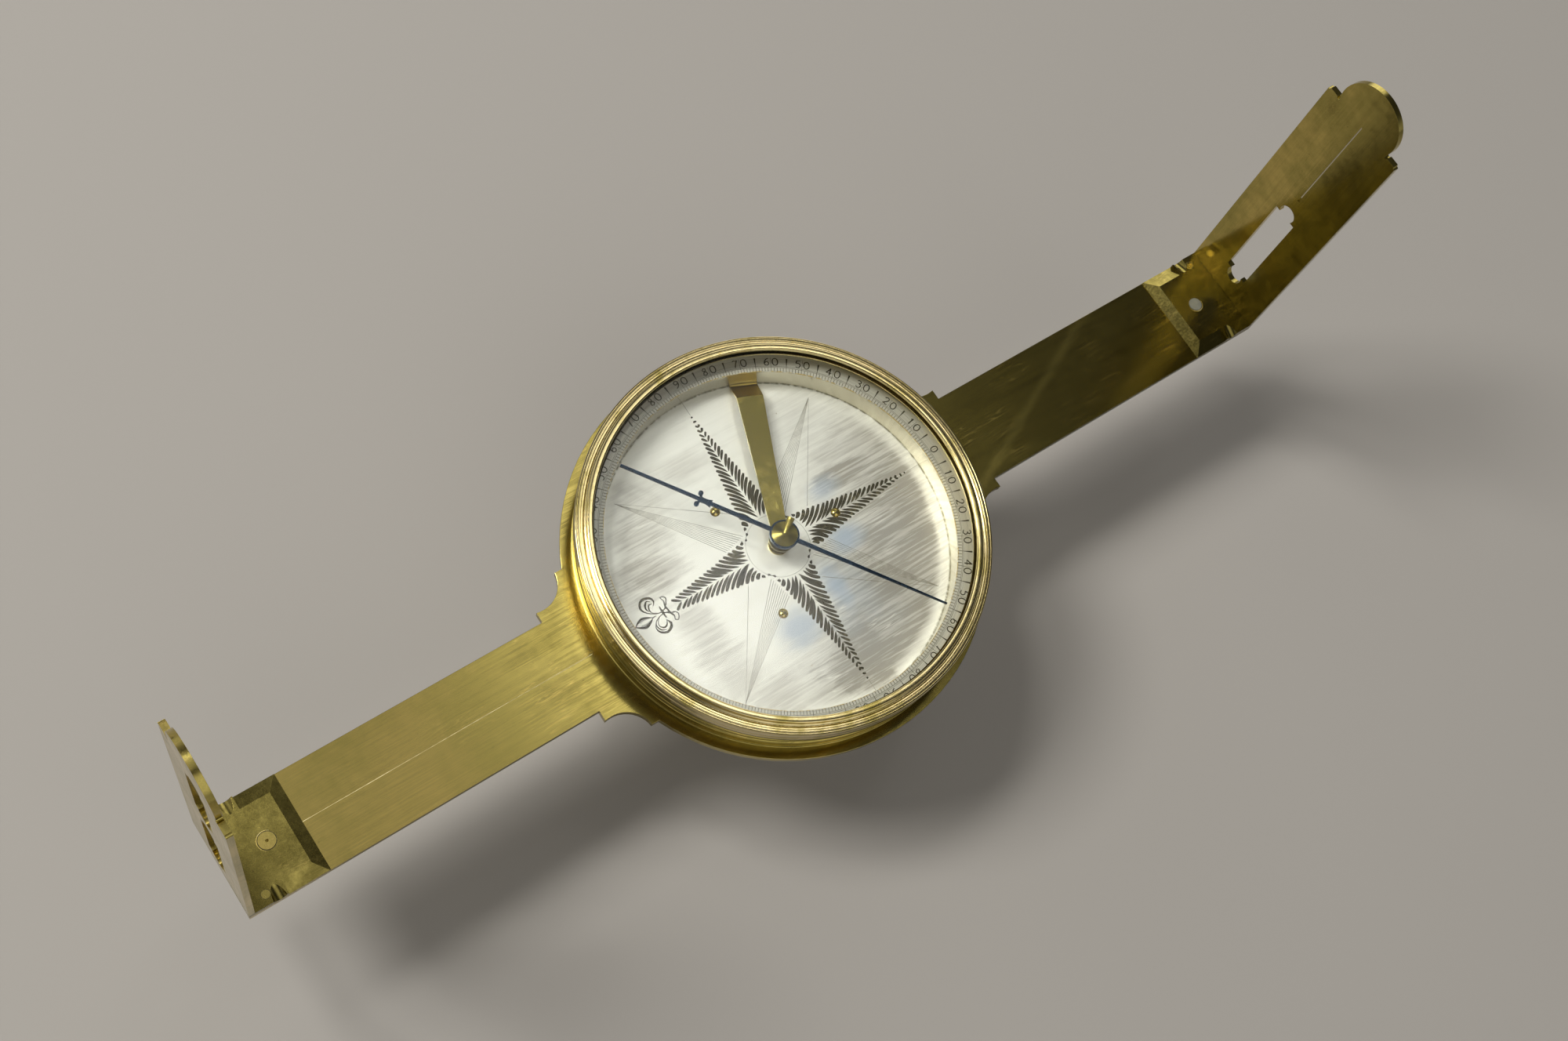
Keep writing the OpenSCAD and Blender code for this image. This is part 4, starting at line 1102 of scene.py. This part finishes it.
def foot_marks(side, hole, start_angle, vane, grime, worn):
    """Dark seats of the screw end and the steady pin in a vane's foot, and the rubbed arc beside the screw.

    A seat is a low rectangle carried round its centre. The arc runs at one distance round the screw, from
    -40 to 150 degrees past start_angle, and its width swells with the sine from end to end. side is 1 for
    the north and -1 for the south, hole the screw hole's radius in millimetres.
    """
    body, slot = vane + "_body", "brass_" + vane
    low, high = FOOT_TOP - SUNK, FOOT_TOP + FOOT_LINE
    screw_y = side * VANE_SCREW_Y

    def seat(name, x, y, inner, outer, steps):
        section = [[inner * MM, low], [outer * MM, low], [outer * MM, high], [inner * MM, high]]
        points, faces = turned(section, steps)
        make_piece(vane + name, points + np.array([x, y, 0]), faces, body, slot, grime)

    seat("_screw_seat", 0, screw_y, hole + 0.02, hole + 0.16, 96)
    angle = np.radians(np.linspace(-40, 150, 30)) + start_angle
    reach = (hole + 0.34) * MM
    arc = np.stack([reach * np.cos(angle), screw_y + reach * np.sin(angle)], -1)[None]
    width = (0.16 * np.sin(np.linspace(0, np.pi, 30)) + 0.02)[None] * MM
    make_piece(vane + "_screw_wear", *ribbons(arc, width, low, high + 0.002 * MM), body, slot, worn)
    seat("_pin_edge", -side * STEADY_PIN[0], side * STEADY_PIN[1], 1.36, 1.46, 48)


class COMPASS_OT_vanes(bpy.types.Operator):
    """Finish the two sight vanes"""
    bl_idname = "compass.vanes"
    bl_label = "Sight vanes"

    def execute(self, context):
        sizes, colours = settings(context)[:2]
        upright = (math.radians(90), 0.0, 0.0)
        # Both feet are made darker than their vanes. Toward -X the south vane is darker still: painted
        # reflection, standing in for the dark southern arm seen in its inner face.
        north = brass("brass north vane", colours, grain="brushed", lines=2000.0, amount=0.36, size=55.0,
                      rough=(0.12, 0.30), way=upright, bump=0.06,
                      zones=(((0, 0, 1), FOOT_TOP + 0.6 * MM, FOOT_TOP + 0.1 * MM, 0.6),))
        south = brass("brass south vane", colours, grain="brushed", lines=2000.0, amount=0.42, size=40.0,
                      rough=(0.08, 0.22), way=upright, bump=0.05,
                      zones=(((0, 0, 1), FOOT_TOP + 0.6 * MM, FOOT_TOP + 0.1 * MM, 0.4),
                             ((1, 0, 0), 4 * MM, -6 * MM, 0.4)))
        softened("north_vane", sizes.edge_softness, north, "north_sight_vane")
        softened("south_vane", sizes.edge_softness, south, "south_sight_vane")
        grime = wax_material("foot grime", colours)
        worn = hairline_material("worn brass", colours.bright_brass, (0.86, 0.76, 0.45))
        worn.node_tree.nodes["Principled BSDF"].inputs["Metallic"].default_value = 1.0
        foot_marks(1, 2.75, 0.0, "north_vane", grime, worn)
        foot_marks(-1, 2.4, 2.2, "south_vane", grime, worn)
        return {"FINISHED"}


class COMPASS_OT_small(bpy.types.Operator):
    """Finish the socket, screws, rivets and pins"""
    bl_idname = "compass.small"
    bl_label = "Socket and fastenings"

    def execute(self, context):
        colours = settings(context)[1]
        small = brass("brass small", colours, lines=4000.0, amount=0.4, size=120.0)
        rivet = brass("brass rivet", colours, lines=4000.0, amount=0.2, size=200.0, rough=(0.12, 0.24))
        socket = brass("brass socket", colours, lines=3200.0, amount=0.5, size=40.0, rough=(0.18, 0.36))
        screw = brass("brass screw", colours, lines=3600.0, amount=0.4, size=140.0, rough=(0.16, 0.32))
        grey = steel("grey steel", (0.20, 0.22, 0.25), (0.3, 0.5), 1500.0, edge=(0.32, 0.34, 0.37), rust=0.8)
        grey.node_tree.nodes["Principled BSDF"].inputs["Metallic"].default_value = 0.6
        for nodes, finish_of in ((("ring_screws", "steady_pins", "lifter_rivet", "lift_screw"), small),
                                 (("socket_rivets",), rivet), (("staff_socket",), socket),
                                 (("north_thumbscrew", "socket_clamp_screw"), screw),
                                 (("south_thumbscrew",), grey)):
            for node in nodes:
                dress(node, finish_of)
        return {"FINISHED"}


class COMPASS_PT_panel(bpy.types.Panel):
    """Lists the steps that finish the compass"""
    bl_idname = "COMPASS_PT_panel"
    bl_label = "Surveyor's compass"
    bl_space_type = "VIEW_3D"
    bl_region_type = "UI"
    bl_category = "Compass"

    def draw(self, context):
        for part in settings(context):
            for key in part.bl_rna.properties.keys():
                if key not in ("rna_type", "name"):
                    self.layout.prop(part, key)
        for step in STEPS:
            self.layout.operator(step.bl_idname)


STEPS = (COMPASS_OT_stage, COMPASS_OT_turned, COMPASS_OT_plate, COMPASS_OT_dial, COMPASS_OT_ring,
         COMPASS_OT_needle, COMPASS_OT_vanes, COMPASS_OT_small)
GROUPS = (("compass_sizes", CompassSizes), ("compass_colours", CompassColours),
          ("compass_light", CompassLight))


def register():
    for key, kind in GROUPS:
        bpy.utils.register_class(kind)
        setattr(bpy.types.Scene, key, bpy.props.PointerProperty(type=kind))
    for kind in (*STEPS, COMPASS_PT_panel):
        bpy.utils.register_class(kind)


def unregister():
    for kind in (COMPASS_PT_panel, *STEPS):
        bpy.utils.unregister_class(kind)
    for key, kind in GROUPS:
        delattr(bpy.types.Scene, key)
        bpy.utils.unregister_class(kind)


def main():
    """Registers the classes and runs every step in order."""
    register()
    bpy.ops.compass.stage()
    bpy.ops.compass.turned()
    bpy.ops.compass.plate()
    bpy.ops.compass.dial()
    bpy.ops.compass.ring()
    bpy.ops.compass.needle()
    bpy.ops.compass.vanes()
    bpy.ops.compass.small()


if __name__ == "__main__":
    main()
